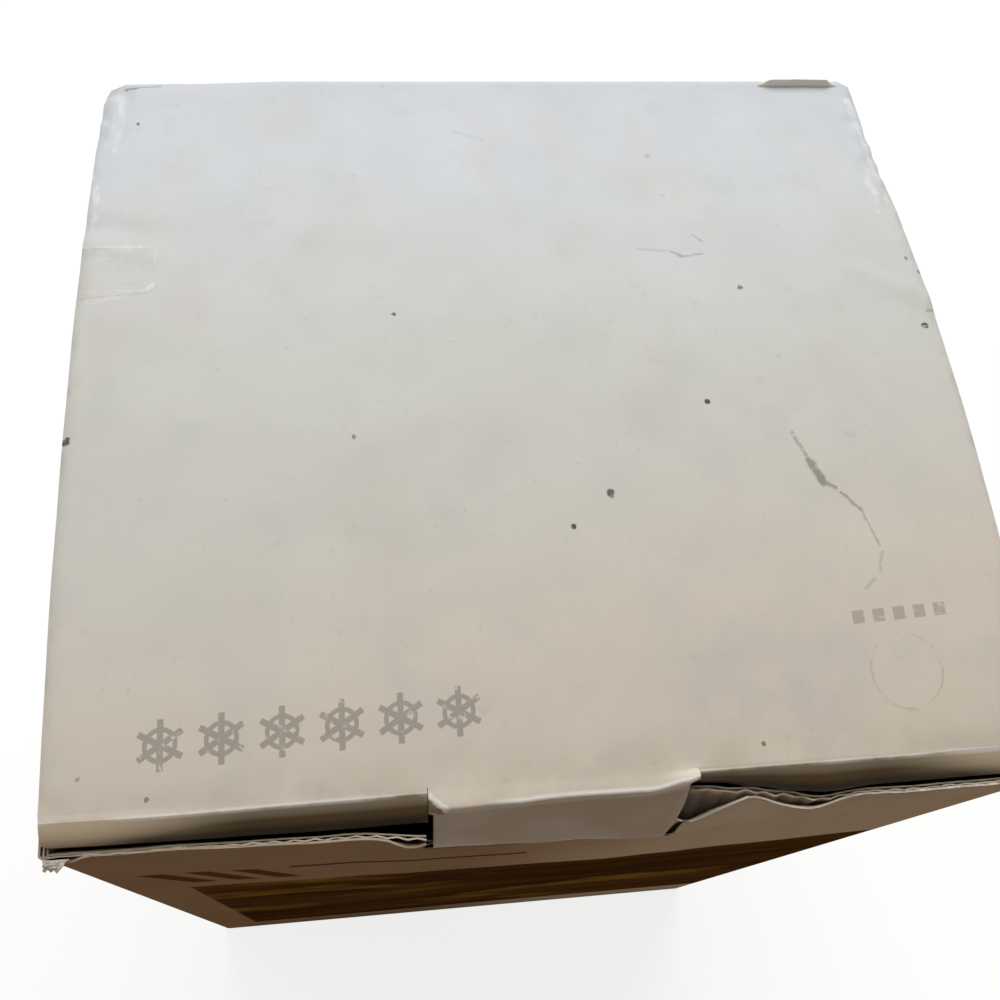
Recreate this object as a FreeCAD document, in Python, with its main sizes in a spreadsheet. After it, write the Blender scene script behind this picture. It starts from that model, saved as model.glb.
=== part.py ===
import FreeCAD, Part
import math
import os
import re

import Sketcher

# A hand-cranked ice shaver in its carton. The carton stands on z = 0, centred on
# the Z axis, with its printed front towards -Y. Its lid swings about the rear top
# crease, and the shaver stands inside on a pad, in a collar, crank upwards.

# ---------------------------------------------------------------- driving sizes

SIZES = {
    # carton, millimetres and degrees
    "carton_width": 176,
    "carton_depth": 162,
    "carton_height": 270,
    "board": 1.6,
    "face_liner": 0.35,
    "backing_liner": 0.25,
    "flute_pitch": 3.4,
    "flute_paper": 0.2,
    "glue_line": 0.02,
    "crease_gap": 0.2,
    "flap_gap": 0.3,
    "lid_side_gap": 0.5,
    "lid_rise": 7.5,
    "lid_setback": 6,
    "roll_radius": 4,
    "roll_end_gap": 0.6,
    "tuck_lean": 12,
    "tuck_length": 28,
    "tuck_corner": 8,
    "tuck_taper": 14,
    "front_drop": 4,
    "tongue_width": 47,
    "tongue_shift": -1,
    "tongue_length": 13,
    "tongue_lean": 10,
    "tongue_bend": 3,
    "tongue_gap": 0.3,
    "tongue_corner": 5,
    "tongue_taper": 10,
    "notch_depth": 18,
    "slit_drop": 17.5,
    "slit_height": 1.4,
    "slit_side_gap": 0.5,
    "tape_place": 18,
    "tape_width": 13,
    "tape_length": 16,
    "tape_thick": 0.06,
    "dust_length": 60,
    "dust_front_gap": 15,
    "dust_rear_gap": 3,
    "dust_rear_taper": 30,
    "dust_front_taper": 6,
    "dust_corner": 6,
    "glue_flap_width": 24,
    "glue_flap_trim": 6,
    "bottom_seam": 1,
    "bottom_seam_place": 8,
    "minor_flap_length": 60,
    # packing
    "pad_thick": 3,
    "pad_side_gap": 3,
    "collar_thick": 3,
    "collar_side_gap": 2.4,
    "collar_rise": 0.8,
    "collar_depth": 140,
    "collar_hole_gap": 4,
    # shaver
    "foot_radius": 60,
    "foot_thick": 8,
    "rubber_radius": 7,
    "rubber_thick": 2.2,
    "rubber_circle": 47,
    "column_width": 44,
    "column_thick": 12,
    "column_place": 46,
    "column_corner": 4,
    "column_height": 88,
    "head_thick": 10,
    "throat_radius": 43,
    "ledge_depth": 4,
    "plate_radius": 49.6,
    "plate_thick": 1.5,
    "plate_gap": 0.2,
    "socket_height": 8,
    "socket_wall": 3,
    "chamber_radius": 52.7,
    "chamber_wall": 2.5,
    "chamber_height": 72,
    "chamber_gap": 0.3,
    "blade_length": 32,
    "blade_width": 22,
    "blade_thick": 1,
    "edge_thick": 0.1,
    "blade_angle": 14,
    "blade_inner_end": 5,
    "blade_proud": 0.6,
    "blade_lead": 1,
    "slot_side_gap": 0.4,
    "slot_mouth": 2.4,
    "shim_gap": 0.05,
    "shim_front_gap": 2,
    "screw_circle": 46,
    "screw_radius": 1.5,
    "screw_head_radius": 2.6,
    "screw_head_thick": 1.4,
    "screw_length": 4,
    "screw_gap": 0.1,
    "cover_top": 4,
    "cover_skirt": 12,
    "cover_wall": 3,
    "grip_radius": 2.2,
    "grip_depth": 1.1,
    "bush_wall": 3,
    "bush_collar_radius": 13,
    "bush_collar_height": 10,
    "bush_rim": 2.5,
    "bush_rim_height": 2,
    "press_gap": 0.03,
    "running_gap": 0.05,
    "shaft_radius": 5,
    "shaft_shoulder": 3,
    "shoulder_height": 3.5,
    "thrust_gap": 0.3,
    "thread_radius": 4,
    "thread_height": 7,
    "presser_radius": 46,
    "presser_thick": 3,
    "presser_drop": 22,
    "presser_hub_radius": 9,
    "presser_hub_height": 9,
    "spike_radius": 2,
    "spike_point": 0.2,
    "spike_height": 6,
    "spike_circle": 34,
    "arm_length": 54,
    "arm_thick": 5,
    "arm_hub_radius": 11,
    "arm_end_radius": 8,
    "nut_across": 13,
    "nut_thick": 6,
    "pin_radius": 3,
    "pin_head_radius": 5,
    "pin_head_thick": 2.4,
    "knob_height": 24,
    "knob_radius": 10.5,
    "knob_neck_radius": 7.5,
    "knob_cap": 3,
    "knob_curve": 48,
    "knob_shoulder": 18,
    "adjuster_drop": 6.5,
    "adjuster_stem_radius": 2.5,
    "adjuster_knob_radius": 8,
    "adjuster_knob_thick": 7,
    "adjuster_stand_off": 2,
    "adjuster_reach": 1,
    "bowl_radius": 41,
    "bowl_foot_radius": 25,
    "bowl_height": 60,
    "bowl_wall": 2.5,
    "bowl_curve": 115,
    "bowl_gap": 0.2,
}

SCREW_COUNT = 3
SPIKE_COUNT = 8
GRIP_COUNT = 24
RUBBER_COUNT = 4

doc = FreeCAD.newDocument("IceShaverCarton")
sheet = doc.addObject("Spreadsheet::Sheet", "Sizes")
for row, (name, number) in enumerate(SIZES.items(), start=1):
    sheet.set(f"A{row}", name)
    sheet.set(f"B{row}", str(number))
    sheet.setAlias(f"B{row}", name)
doc.recompute()

nodes = []


def cells(formula):
    """The formula with each size's name written as its cell of the sheet."""

    def cell(word):
        return f"Sizes.{word[0]}" if word[0] in SIZES else word[0]

    return re.sub(r"[a-z][a-z_]+", cell, formula)


def value(formula):
    """What the formula comes to now, as a plain number."""
    result = sheet.evalExpression(cells(formula))
    return float(getattr(result, "Value", result))


def bind(thing, **formulas):
    """Bind properties of an object to the sheet. A double underscore stands for a dot."""
    for name, formula in formulas.items():
        thing.setExpression(name.replace("__", "."), cells(formula))


def new_body(label, lift=None):
    """A PartDesign body that is one node, lifted along Z if the formula is given."""
    body = doc.addObject("PartDesign::Body", label)
    body.Label = label
    if lift:
        bind(body, Placement__Base__z=lift)
    nodes.append(body)
    return body


def outline(body, role, corners, offset="0"):
    """A closed outline on an origin plane of the body, offset along the plane's normal.

    A corner is (x, y), or (x, y, radius, turn) where the edge to the next corner is
    an arc: turn is 1 where the arc runs counter-clockwise and -1 where it runs clockwise.
    """
    plane = next(item for item in body.Origin.OriginFeatures if item.Role == role)
    sketch = body.newObject("Sketcher::SketchObject", f"{body.Name}_outline")
    sketch.AttachmentSupport = (plane, [""])
    sketch.MapMode = "FlatFace"
    bind(sketch, AttachmentOffset__Base__z=offset)
    places = [FreeCAD.Vector(value(corner[0]), value(corner[1]), 0) for corner in corners]
    ends = []
    for index, corner in enumerate(corners):
        start, stop = places[index], places[(index + 1) % len(corners)]
        turn = 1
        if len(corner) == 2:
            sketch.addGeometry(Part.LineSegment(start, stop), False)
        else:
            radius, turn = value(corner[2]), corner[3]
            chord = stop - start
            sag = radius - math.sqrt(max(radius**2 - chord.Length**2 / 4, 0))
            side = FreeCAD.Vector(chord.y, -chord.x, 0).normalize() * turn
            middle = (start + stop) * 0.5 + side * sag
            first, last = (start, stop) if turn == 1 else (stop, start)
            sketch.addGeometry(Part.Arc(first, middle, last), False)
        ends.append((1, 2) if turn == 1 else (2, 1))
    for index, corner in enumerate(corners):
        following = (index + 1) % len(corners)
        sketch.addConstraint(
            Sketcher.Constraint("Coincident", index, ends[index][1], following, ends[following][0])
        )
        for direction, formula in (("DistanceX", corner[0]), ("DistanceY", corner[1])):
            rule = Sketcher.Constraint(direction, index, ends[index][0], value(formula))
            number = sketch.addConstraint(rule)
            sketch.setExpression(f"Constraints[{number}]", cells(formula))
        if len(corner) == 4:
            number = sketch.addConstraint(Sketcher.Constraint("Radius", index, value(corner[2])))
            sketch.setExpression(f"Constraints[{number}]", cells(corner[2]))
    return sketch


def circle(body, role, radius, x="0", y="0", offset="0"):
    """A circle on an origin plane of the body."""
    plane = next(item for item in body.Origin.OriginFeatures if item.Role == role)
    sketch = body.newObject("Sketcher::SketchObject", f"{body.Name}_circle")
    sketch.AttachmentSupport = (plane, [""])
    sketch.MapMode = "FlatFace"
    bind(sketch, AttachmentOffset__Base__z=offset)
    centre = FreeCAD.Vector(value(x), value(y), 0)
    ring = Part.Circle(centre, FreeCAD.Vector(0, 0, 1), value(radius))
    sketch.addGeometry(ring, False)
    for kind, formula in (("DistanceX", x), ("DistanceY", y)):
        number = sketch.addConstraint(Sketcher.Constraint(kind, 0, 3, value(formula)))
        sketch.setExpression(f"Constraints[{number}]", cells(formula))
    number = sketch.addConstraint(Sketcher.Constraint("Radius", 0, value(radius)))
    sketch.setExpression(f"Constraints[{number}]", cells(radius))
    return sketch


def pad(body, sketch, length, both_ways=False):
    """Pad a sketch along its normal, or half of the length to each side."""
    feature = body.newObject("PartDesign::Pad", f"{body.Name}_pad")
    feature.Profile = sketch
    feature.Midplane = both_ways
    bind(feature, Length=length)
    return feature


def pocket(body, sketch, length, both_ways=False, reversed_way=False):
    """Cut a sketch against its normal, with its normal, or half of the length to each side."""
    feature = body.newObject("PartDesign::Pocket", f"{body.Name}_pocket")
    feature.Profile = sketch
    feature.Midplane = both_ways
    feature.Reversed = reversed_way
    bind(feature, Length=length)
    return feature


def turned(body, corners):
    """Turn a profile of (radius, height) corners about the body's Z axis."""
    sketch = outline(body, "XZ_Plane", corners)
    feature = body.newObject("PartDesign::Revolution", f"{body.Name}_turn")
    feature.Profile = sketch
    feature.ReferenceAxis = (sketch, ["V_Axis"])
    feature.Angle = 360
    return feature


def repeat_round(body, feature, count):
    """Repeat a feature of the body in a full ring about the Z axis."""
    axis = next(item for item in body.Origin.OriginFeatures if item.Role == "Z_Axis")
    pattern = body.newObject("PartDesign::PolarPattern", f"{body.Name}_ring")
    pattern.Originals = [feature]
    pattern.Axis = (axis, [""])
    pattern.Angle = 360
    pattern.Occurrences = count
    body.Tip = pattern
    return pattern


def box(low_x, high_x, low_y, high_y):
    """The four corners of a rectangle."""
    return [(low_x, low_y), (high_x, low_y), (high_x, high_y), (low_x, high_y)]


# ------------------------------------------------------------------ carton sizes

HALF_WIDTH = "(carton_width / 2)"
HALF_DEPTH = "(carton_depth / 2)"
SIDE_TOP = "(carton_height - 2 * board - crease_gap - flap_gap)"
FRONT_TOP = "(carton_height - front_drop)"
BACK_TOP = "(carton_height - board - crease_gap)"
INNER_HALF_WIDTH = f"({HALF_WIDTH} - board)"
INNER_HALF_DEPTH = f"({HALF_DEPTH} - board)"

# The lid's outer face is an arc over its depth, from the rear crease to the roll.
LID_FRONT = f"(-{HALF_DEPTH} + lid_setback)"
LID_CHORD = "(carton_depth - lid_setback)"
LID_RADIUS = f"(({LID_CHORD}^2 / 4 + lid_rise^2) / (2 * lid_rise))"
SLOPE_SIN = f"({LID_CHORD} / 2 / {LID_RADIUS})"
SLOPE_COS = f"(1 - lid_rise / {LID_RADIUS})"
LID_INNER = (f"({LID_FRONT} + board * {SLOPE_SIN})", f"(carton_height - board * {SLOPE_COS})")

# The roll turns from the lid's slope to the tuck flap's lean.
ROLL_Y = f"({LID_FRONT} + roll_radius * {SLOPE_SIN})"
ROLL_Z = f"(carton_height - roll_radius * {SLOPE_COS})"
ROLL_END = (f"({ROLL_Y} - roll_radius * cos(tuck_lean))", f"({ROLL_Z} - roll_radius * sin(tuck_lean))")
ROLL_END_INNER = (
    f"({ROLL_Y} - (roll_radius - board) * cos(tuck_lean))",
    f"({ROLL_Z} - (roll_radius - board) * sin(tuck_lean))",
)

LID_ARC_Y = f"(({HALF_DEPTH} + {LID_FRONT}) / 2)"
LID_ARC_Z = f"(carton_height + lid_rise - {LID_RADIUS})"

TONGUE_LEFT = "(tongue_shift - tongue_width / 2)"
TONGUE_RIGHT = "(tongue_shift + tongue_width / 2)"
SLIT_MIDDLE = "(carton_height - slit_drop - slit_height / 2)"


# ------------------------------------------------------------------ carton walls


def wall(label, role, corners, start, thickness="board"):
    """A flat piece of board."""
    body = new_body(label)
    pad(body, outline(body, role, corners, start), thickness)
    return body


def cut_slit(body):
    """The slit that the tongue's tip lies over, through the front panel."""
    slit = box(
        f"{TONGUE_LEFT} - slit_side_gap",
        f"{TONGUE_RIGHT} + slit_side_gap",
        f"{SLIT_MIDDLE} - slit_height / 2",
        f"{SLIT_MIDDLE} + slit_height / 2",
    )
    pocket(body, outline(body, "XZ_Plane", slit), "carton_depth + 2 * board", both_ways=True)


FRONT_OUTLINE = box(f"-{HALF_WIDTH}", HALF_WIDTH, "0", FRONT_TOP)

# A sketch on the XZ plane faces -Y, so the offset of a wall there is its depth towards the front.
front_liner = wall("front_liner", "XZ_Plane", FRONT_OUTLINE, f"{HALF_DEPTH} - face_liner", "face_liner")
cut_slit(front_liner)
front_backing = wall("front_backing", "XZ_Plane", FRONT_OUTLINE, INNER_HALF_DEPTH, "backing_liner")
cut_slit(front_backing)
wall("back_panel", "XZ_Plane", box(f"-{HALF_WIDTH}", HALF_WIDTH, "0", BACK_TOP), f"-{HALF_DEPTH}")
SIDE_OUTLINE = box(f"-{INNER_HALF_DEPTH}", INNER_HALF_DEPTH, "0", SIDE_TOP)
wall("left_panel", "YZ_Plane", SIDE_OUTLINE, f"-{HALF_WIDTH}")
wall("right_panel", "YZ_Plane", SIDE_OUTLINE, INNER_HALF_WIDTH)
wall(
    "glue_flap",
    "YZ_Plane",
    [
        (INNER_HALF_DEPTH, "glue_flap_trim"),
        (INNER_HALF_DEPTH, f"{SIDE_TOP} - glue_flap_trim"),
        (f"{INNER_HALF_DEPTH} - glue_flap_width", f"{SIDE_TOP} - 2 * glue_flap_trim"),
        (f"{INNER_HALF_DEPTH} - glue_flap_width", "2 * glue_flap_trim"),
    ],
    f"-{INNER_HALF_WIDTH}",
)


def add_fluting():
    """The wavy middle ply of the front panel: a paper of half circles, run upright."""
    pitch = value("carton_width") / round(value("carton_width / flute_pitch"))
    low = value(f"-{HALF_DEPTH} + face_liner + glue_line")
    high = value(f"-{INNER_HALF_DEPTH} - backing_liner - glue_line")
    paper = value("flute_paper")
    centre = (low + high) / 2
    swing = (high - low - paper) / 2
    half_wave = pitch / 2

    def wave(shift):
        """One face of the paper as a chain of arcs through its crests and crossings."""
        edges = []
        for step in range(round(value("carton_width") / half_wave)):
            left = value(f"-{HALF_WIDTH}") + step * half_wave
            crest = centre + shift + swing * (-1) ** (step + 1)
            start = FreeCAD.Vector(left, centre + shift, 0)
            top = FreeCAD.Vector(left + half_wave / 2, crest, 0)
            stop = FreeCAD.Vector(left + half_wave, centre + shift, 0)
            edges.append(Part.Arc(start, top, stop).toShape())
        return edges

    near, far = wave(-paper / 2), wave(paper / 2)
    ends = [
        Part.LineSegment(near[0].firstVertex().Point, far[0].firstVertex().Point).toShape(),
        Part.LineSegment(near[-1].lastVertex().Point, far[-1].lastVertex().Point).toShape(),
    ]
    section = Part.Face(Part.Wire(Part.__sortEdges__(near + ends + far)))
    sheet_of_paper = section.extrude(FreeCAD.Vector(0, 0, value(FRONT_TOP)))
    slit = Part.makeBox(
        value("tongue_width + 2 * slit_side_gap"),
        value("2 * board"),
        value("slit_height"),
        FreeCAD.Vector(
            value(f"{TONGUE_LEFT} - slit_side_gap"),
            value(f"-{HALF_DEPTH} - board / 2"),
            value(f"{SLIT_MIDDLE} - slit_height / 2"),
        ),
    )
    fluting = doc.addObject("Part::Feature", "front_fluting")
    fluting.Label = "front_fluting"
    fluting.Shape = sheet_of_paper.cut(slit)
    nodes.append(fluting)


add_fluting()

# ----------------------------------------------------------------- carton bottom

for label, side in (("bottom_flap_front", -1), ("bottom_flap_back", 1)):
    rim, seam = f"{INNER_HALF_DEPTH} * {side}", f"bottom_seam_place + bottom_seam / 2 * {side}"
    flap = box(f"-{INNER_HALF_WIDTH}", INNER_HALF_WIDTH, *((rim, seam) if side < 0 else (seam, rim)))
    wall(label, "XY_Plane", flap, "0")
for label, side in (("bottom_flap_left", -1), ("bottom_flap_right", 1)):
    rim, tip = f"{INNER_HALF_WIDTH} * {side}", f"({INNER_HALF_WIDTH} - minor_flap_length) * {side}"
    flap = box(*((rim, tip) if side < 0 else (tip, rim)), f"-{INNER_HALF_DEPTH}", INNER_HALF_DEPTH)
    wall(label, "XY_Plane", flap, "board")

# --------------------------------------------------------- lid, tuck flap, tongue


def add_lid():
    """The arched lid with its rolled front edge, cut out where the tongue leaves it."""
    lid = new_body("lid_panel")
    profile = [
        (HALF_DEPTH, "carton_height", LID_RADIUS, 1),
        (LID_FRONT, "carton_height", "roll_radius", 1),
        ROLL_END,
        (*ROLL_END_INNER, "roll_radius - board", -1),
        (*LID_INNER, f"{LID_RADIUS} - board", -1),
        (HALF_DEPTH, "carton_height - board"),
    ]
    pad(lid, outline(lid, "YZ_Plane", profile), "carton_width - 2 * lid_side_gap", both_ways=True)
    cuts = (
        (f"{TONGUE_LEFT} - tongue_gap", f"{TONGUE_RIGHT} + tongue_gap", f"{LID_FRONT} + roll_end_gap"),
        (f"-{HALF_WIDTH}", f"-{INNER_HALF_WIDTH} + roll_end_gap", LID_FRONT),
        (f"{INNER_HALF_WIDTH} - roll_end_gap", HALF_WIDTH, LID_FRONT),
    )
    for left, right, rear in cuts:
        corners = box(left, right, f"-{HALF_DEPTH} - board", rear)
        pocket(lid, outline(lid, "XY_Plane", corners), "3 * carton_height", both_ways=True)


def add_tuck_flap():
    """The flap that goes down behind the front panel, notched where the tongue was cut out."""
    flap = new_body("tuck_flap")

    def along(start, length):
        """A point at a length down the flap from one of its two upper corners."""
        y, z = start
        return (f"{y} + ({length}) * sin(tuck_lean)", f"{z} - ({length}) * cos(tuck_lean)")

    profile = [
        along(ROLL_END, "crease_gap"),
        along(ROLL_END, "tuck_length"),
        along(ROLL_END_INNER, "tuck_length"),
        along(ROLL_END_INNER, "crease_gap"),
    ]
    half = f"({INNER_HALF_WIDTH} - roll_end_gap)"
    pad(flap, outline(flap, "YZ_Plane", profile), f"2 * {half}", both_ways=True)
    foot = f"({ROLL_END[1]} - tuck_length)"
    taper = f"({foot} + tuck_taper)"
    notch_foot = f"({ROLL_END[1]} - notch_depth * cos(tuck_lean))"
    cuts = [
        box(f"{TONGUE_LEFT} - tongue_gap", f"{TONGUE_RIGHT} + tongue_gap", notch_foot, "carton_height"),
        [(f"-{half} - board", foot), (f"-{half} + tuck_corner", foot), (f"-{half} - board", taper)],
        [(f"{half} - tuck_corner", foot), (f"{half} + board", foot), (f"{half} + board", taper)],
    ]
    for corners in cuts:
        pocket(flap, outline(flap, "XZ_Plane", corners), "2 * carton_depth", both_ways=True)


def add_tongue():
    """The lock tongue: over the front panel's edge, round a bend and down its outside."""
    tongue = new_body("lock_tongue")
    bend_y = f"(-{HALF_DEPTH} - tongue_gap - board + tongue_bend)"
    run = f"(({LID_FRONT} + tongue_bend * {SLOPE_SIN} - {bend_y}) / {SLOPE_COS})"
    bend_z = f"(carton_height - {run} * {SLOPE_SIN} - tongue_bend * {SLOPE_COS})"
    inner_bend = "(tongue_bend - board)"

    def slope(radius):
        """The point where the lid's slope runs into the bend, at a radius from its centre."""
        return (f"{bend_y} - {radius} * {SLOPE_SIN}", f"{bend_z} + {radius} * {SLOPE_COS}")

    def face(radius, length="0"):
        """A point of the leaning face, at a radius from the bend's centre and a length below it."""
        return (
            f"{bend_y} - {radius} * cos(tongue_lean) - {length} * sin(tongue_lean)",
            f"{bend_z} + {radius} * sin(tongue_lean) - {length} * cos(tongue_lean)",
        )

    profile = [
        (LID_FRONT, "carton_height"),
        (*slope("tongue_bend"), "tongue_bend", 1),
        face("tongue_bend"),
        face("tongue_bend", "tongue_length"),
        face(inner_bend, "tongue_length"),
        (*face(inner_bend), inner_bend, -1),
        slope(inner_bend),
        LID_INNER,
    ]
    tip = f"({bend_z} - tongue_length * cos(tongue_lean))"
    pad(tongue, outline(tongue, "YZ_Plane", profile, "tongue_shift"), "tongue_width", both_ways=True)
    for edge, inward in ((TONGUE_LEFT, "1"), (TONGUE_RIGHT, "-1")):
        corners = [
            (f"{edge} - board * {inward}", f"{tip} - board"),
            (f"{edge} + tongue_corner * {inward}", f"{tip} - board"),
            (f"{edge} + tongue_corner * {inward}", tip),
            (f"{edge}", f"{tip} + tongue_taper"),
            (f"{edge} - board * {inward}", f"{tip} + tongue_taper"),
        ]
        pocket(tongue, outline(tongue, "XZ_Plane", corners), "2 * carton_depth", both_ways=True)


def add_dust_flap(label, side):
    """A dust flap under the lid, tapered at its rear so that it can follow the lid."""
    flap = new_body(label)
    rim = f"{HALF_WIDTH} * {side}"
    tip = f"({HALF_WIDTH} - dust_length) * {side}"
    shoulder = f"({HALF_WIDTH} - dust_length + dust_corner) * {side}"
    front, rear = f"(-{HALF_DEPTH} + dust_front_gap)", f"({HALF_DEPTH} - dust_rear_gap)"
    front_tip = f"({front} + dust_front_taper)"
    rear_tip = f"({rear} - dust_length * tan(dust_rear_taper))"
    corners = [
        (rim, front),
        (shoulder, front_tip),
        (tip, f"{front_tip} + dust_corner"),
        (tip, f"{rear_tip} - dust_corner"),
        (shoulder, f"{rear_tip} + dust_corner * tan(dust_rear_taper)"),
        (rim, rear),
    ]
    pad(flap, outline(flap, "XY_Plane", corners, f"{SIDE_TOP} + crease_gap"), "board")


def add_tape():
    """A strip of clear tape over the lid's left edge, cut where the lid was opened."""
    tape = new_body("clear_tape")

    def on_lid(place, height):
        """A point over the lid's outer face, at a depth and a height above the face."""
        return (place, f"{LID_ARC_Z} + sqrt(({LID_RADIUS} + {height})^2 - ({place} - {LID_ARC_Y})^2)")

    front, back = "tape_place", "(tape_place + tape_width)"
    film = "(glue_line + tape_thick)"
    profile = [
        (*on_lid(back, film), f"{LID_RADIUS} + {film}", 1),
        on_lid(front, film),
        (*on_lid(front, "glue_line"), f"{LID_RADIUS} + glue_line", -1),
        on_lid(back, "glue_line"),
    ]
    middle = f"-{HALF_WIDTH} + lid_side_gap + tape_length / 2"
    pad(tape, outline(tape, "YZ_Plane", profile, middle), "tape_length", both_ways=True)


add_lid()
add_tape()
add_tuck_flap()
add_tongue()
add_dust_flap("dust_flap_left", -1)
add_dust_flap("dust_flap_right", 1)

# ----------------------------------------------------------------------- packing

FLOOR = "(2 * board)"
PAD_TOP = f"({FLOOR} + pad_thick)"
pad_half_width = f"({INNER_HALF_WIDTH} - pad_side_gap)"
pad_half_depth = f"({INNER_HALF_DEPTH} - pad_side_gap)"
PAD_OUTLINE = box(f"-{pad_half_width}", pad_half_width, f"-{pad_half_depth}", pad_half_depth)
wall("bottom_pad", "XY_Plane", PAD_OUTLINE, FLOOR, "pad_thick")


def add_collar():
    """The die-cut collar: a bridge of board on two legs, with a hole for the shaver's head."""
    collar = new_body("packing_collar", PAD_TOP)
    half = f"({INNER_HALF_WIDTH} - collar_side_gap)"
    corners = [
        (f"-{half}", "0"),
        (f"-{half} + collar_thick", "0"),
        (f"-{half} + collar_thick", f"{COLLAR_HEIGHT} - collar_thick"),
        (f"{half} - collar_thick", f"{COLLAR_HEIGHT} - collar_thick"),
        (f"{half} - collar_thick", "0"),
        (half, "0"),
        (half, COLLAR_HEIGHT),
        (f"-{half}", COLLAR_HEIGHT),
    ]
    pad(collar, outline(collar, "XZ_Plane", corners), "collar_depth", both_ways=True)
    hole = circle(collar, "XY_Plane", f"{HEAD_RADIUS} + collar_hole_gap", offset=COLLAR_HEIGHT)
    pocket(collar, hole, "2 * collar_thick", both_ways=True)


# ------------------------------------------------------------------ shaver stand

FOOT_BASE = f"({PAD_TOP} + rubber_thick)"
SOCKET_RADIUS = "(chamber_radius + chamber_gap)"
HEAD_RADIUS = f"({SOCKET_RADIUS} + socket_wall)"
HEAD_BASE = "(foot_thick + column_height)"
HEAD_TOP = f"({HEAD_BASE} + head_thick)"
LEDGE = f"({HEAD_TOP} - ledge_depth)"
ADJUSTER_Z = f"({HEAD_TOP} - adjuster_drop)"
COLLAR_HEIGHT = f"(rubber_thick + {HEAD_TOP} + socket_height + collar_rise)"

add_collar()


def add_stand():
    """The moulded stand: foot, rear column, and a head with a ledge and a socket."""
    stand = new_body("stand", FOOT_BASE)
    pad(stand, circle(stand, "XY_Plane", "foot_radius"), "foot_thick")
    half, near, far = "(column_width / 2)", "column_place", "(column_place + column_thick)"
    corners = [
        (f"-{half} + column_corner", near),
        (f"{half} - column_corner", near, "column_corner", 1),
        (half, f"{near} + column_corner"),
        (half, f"{far} - column_corner", "column_corner", 1),
        (f"{half} - column_corner", far),
        (f"-{half} + column_corner", far, "column_corner", 1),
        (f"-{half}", f"{far} - column_corner"),
        (f"-{half}", f"{near} + column_corner", "column_corner", 1),
    ]
    pad(stand, outline(stand, "XY_Plane", corners, "foot_thick / 2"), "column_height + foot_thick")
    head = circle(stand, "XY_Plane", HEAD_RADIUS, offset=HEAD_BASE)
    pad(stand, head, "head_thick + socket_height")
    socket = circle(stand, "XY_Plane", SOCKET_RADIUS, offset=f"{HEAD_TOP} + socket_height")
    pocket(stand, socket, "socket_height")
    ledge = circle(stand, "XY_Plane", "plate_radius + plate_gap", offset=HEAD_TOP)
    pocket(stand, ledge, "ledge_depth")
    throat = circle(stand, "XY_Plane", "throat_radius", offset=HEAD_TOP)
    pocket(stand, throat, "head_thick + board")
    bore_radius = "adjuster_stem_radius + running_gap"
    bore = circle(stand, "XZ_Plane", bore_radius, y=ADJUSTER_Z, offset=HEAD_RADIUS)
    pocket(stand, bore, HEAD_RADIUS)
    hole = circle(stand, "XY_Plane", "screw_radius + screw_gap", x="screw_circle", offset=LEDGE)
    hole_cut = pocket(stand, hole, "screw_length")
    doc.recompute()
    repeat_round(stand, hole_cut, SCREW_COUNT)


def ring_of(label, count, lift, make):
    """Identical small pieces on a circle about the Z axis, as one node."""
    group = doc.addObject("Part::Compound", label)
    group.Label = label
    group.Links = [make(f"{label}_{number}", 360 / count * number) for number in range(count)]
    bind(group, Placement__Base__z=lift)
    nodes.append(group)


def rubber_foot(name, angle):
    foot = doc.addObject("Part::Cylinder", name)
    bind(foot, Radius="rubber_radius", Height="rubber_thick")
    bind(foot, Placement__Base__x=f"rubber_circle * cos({angle + 45})")
    bind(foot, Placement__Base__y=f"rubber_circle * sin({angle + 45})")
    return foot


def plate_screw(name, angle):
    """A pan-head screw, as a shank under a wider head."""
    shank = doc.addObject("Part::Cylinder", f"{name}_shank")
    bind(shank, Radius="screw_radius", Height="screw_length + plate_thick - screw_gap")
    bind(shank, Placement__Base__z="screw_gap - screw_length - plate_thick")
    head = doc.addObject("Part::Cone", f"{name}_head")
    bind(head, Radius1="screw_head_radius", Radius2="screw_radius", Height="screw_head_thick")
    screw = doc.addObject("Part::Fuse", name)
    screw.Base, screw.Tool = shank, head
    bind(screw, Placement__Base__x=f"screw_circle * cos({angle})")
    bind(screw, Placement__Base__y=f"screw_circle * sin({angle})")
    return screw


add_stand()
ring_of("rubber_feet", RUBBER_COUNT, PAD_TOP, rubber_foot)
ring_of("blade_plate_screws", SCREW_COUNT, f"{FOOT_BASE} + {LEDGE} + plate_thick", plate_screw)

# --------------------------------------------------------- blade plate and blade

PLATE_BASE = f"({FOOT_BASE} + {LEDGE})"

# The blade is ground thin at its edge, so its upper face slopes less than its lower one.
# Both run down and back from the edge, through the slot.
EDGE_Z = "(plate_thick + blade_proud)"
UPPER_SLOPE = "tan(blade_angle - atan((blade_thick - edge_thick) / blade_width) / 1deg)"
BLADE_BACK = "(blade_width * cos(blade_angle) - blade_lead)"
SLOT_BACK = f"(({EDGE_Z} + edge_thick) / {UPPER_SLOPE} - blade_lead)"


def add_blade_plate():
    """The steel plate that the ice slides on, with the blade's slot and the screw holes."""
    plate = new_body("blade_plate", PLATE_BASE)
    pad(plate, circle(plate, "XY_Plane", "plate_radius"), "plate_thick")
    slot = box(
        "blade_inner_end - slot_side_gap",
        "blade_inner_end + blade_length + slot_side_gap",
        "-blade_lead - slot_mouth",
        f"{SLOT_BACK} + slot_side_gap",
    )
    pocket(plate, outline(plate, "XY_Plane", slot), "2 * board + plate_thick", both_ways=True)
    hole = circle(plate, "XY_Plane", "screw_radius + screw_gap", x="screw_circle", offset="plate_thick")
    hole_cut = pocket(plate, hole, "plate_thick")
    doc.recompute()
    repeat_round(plate, hole_cut, SCREW_COUNT)


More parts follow.
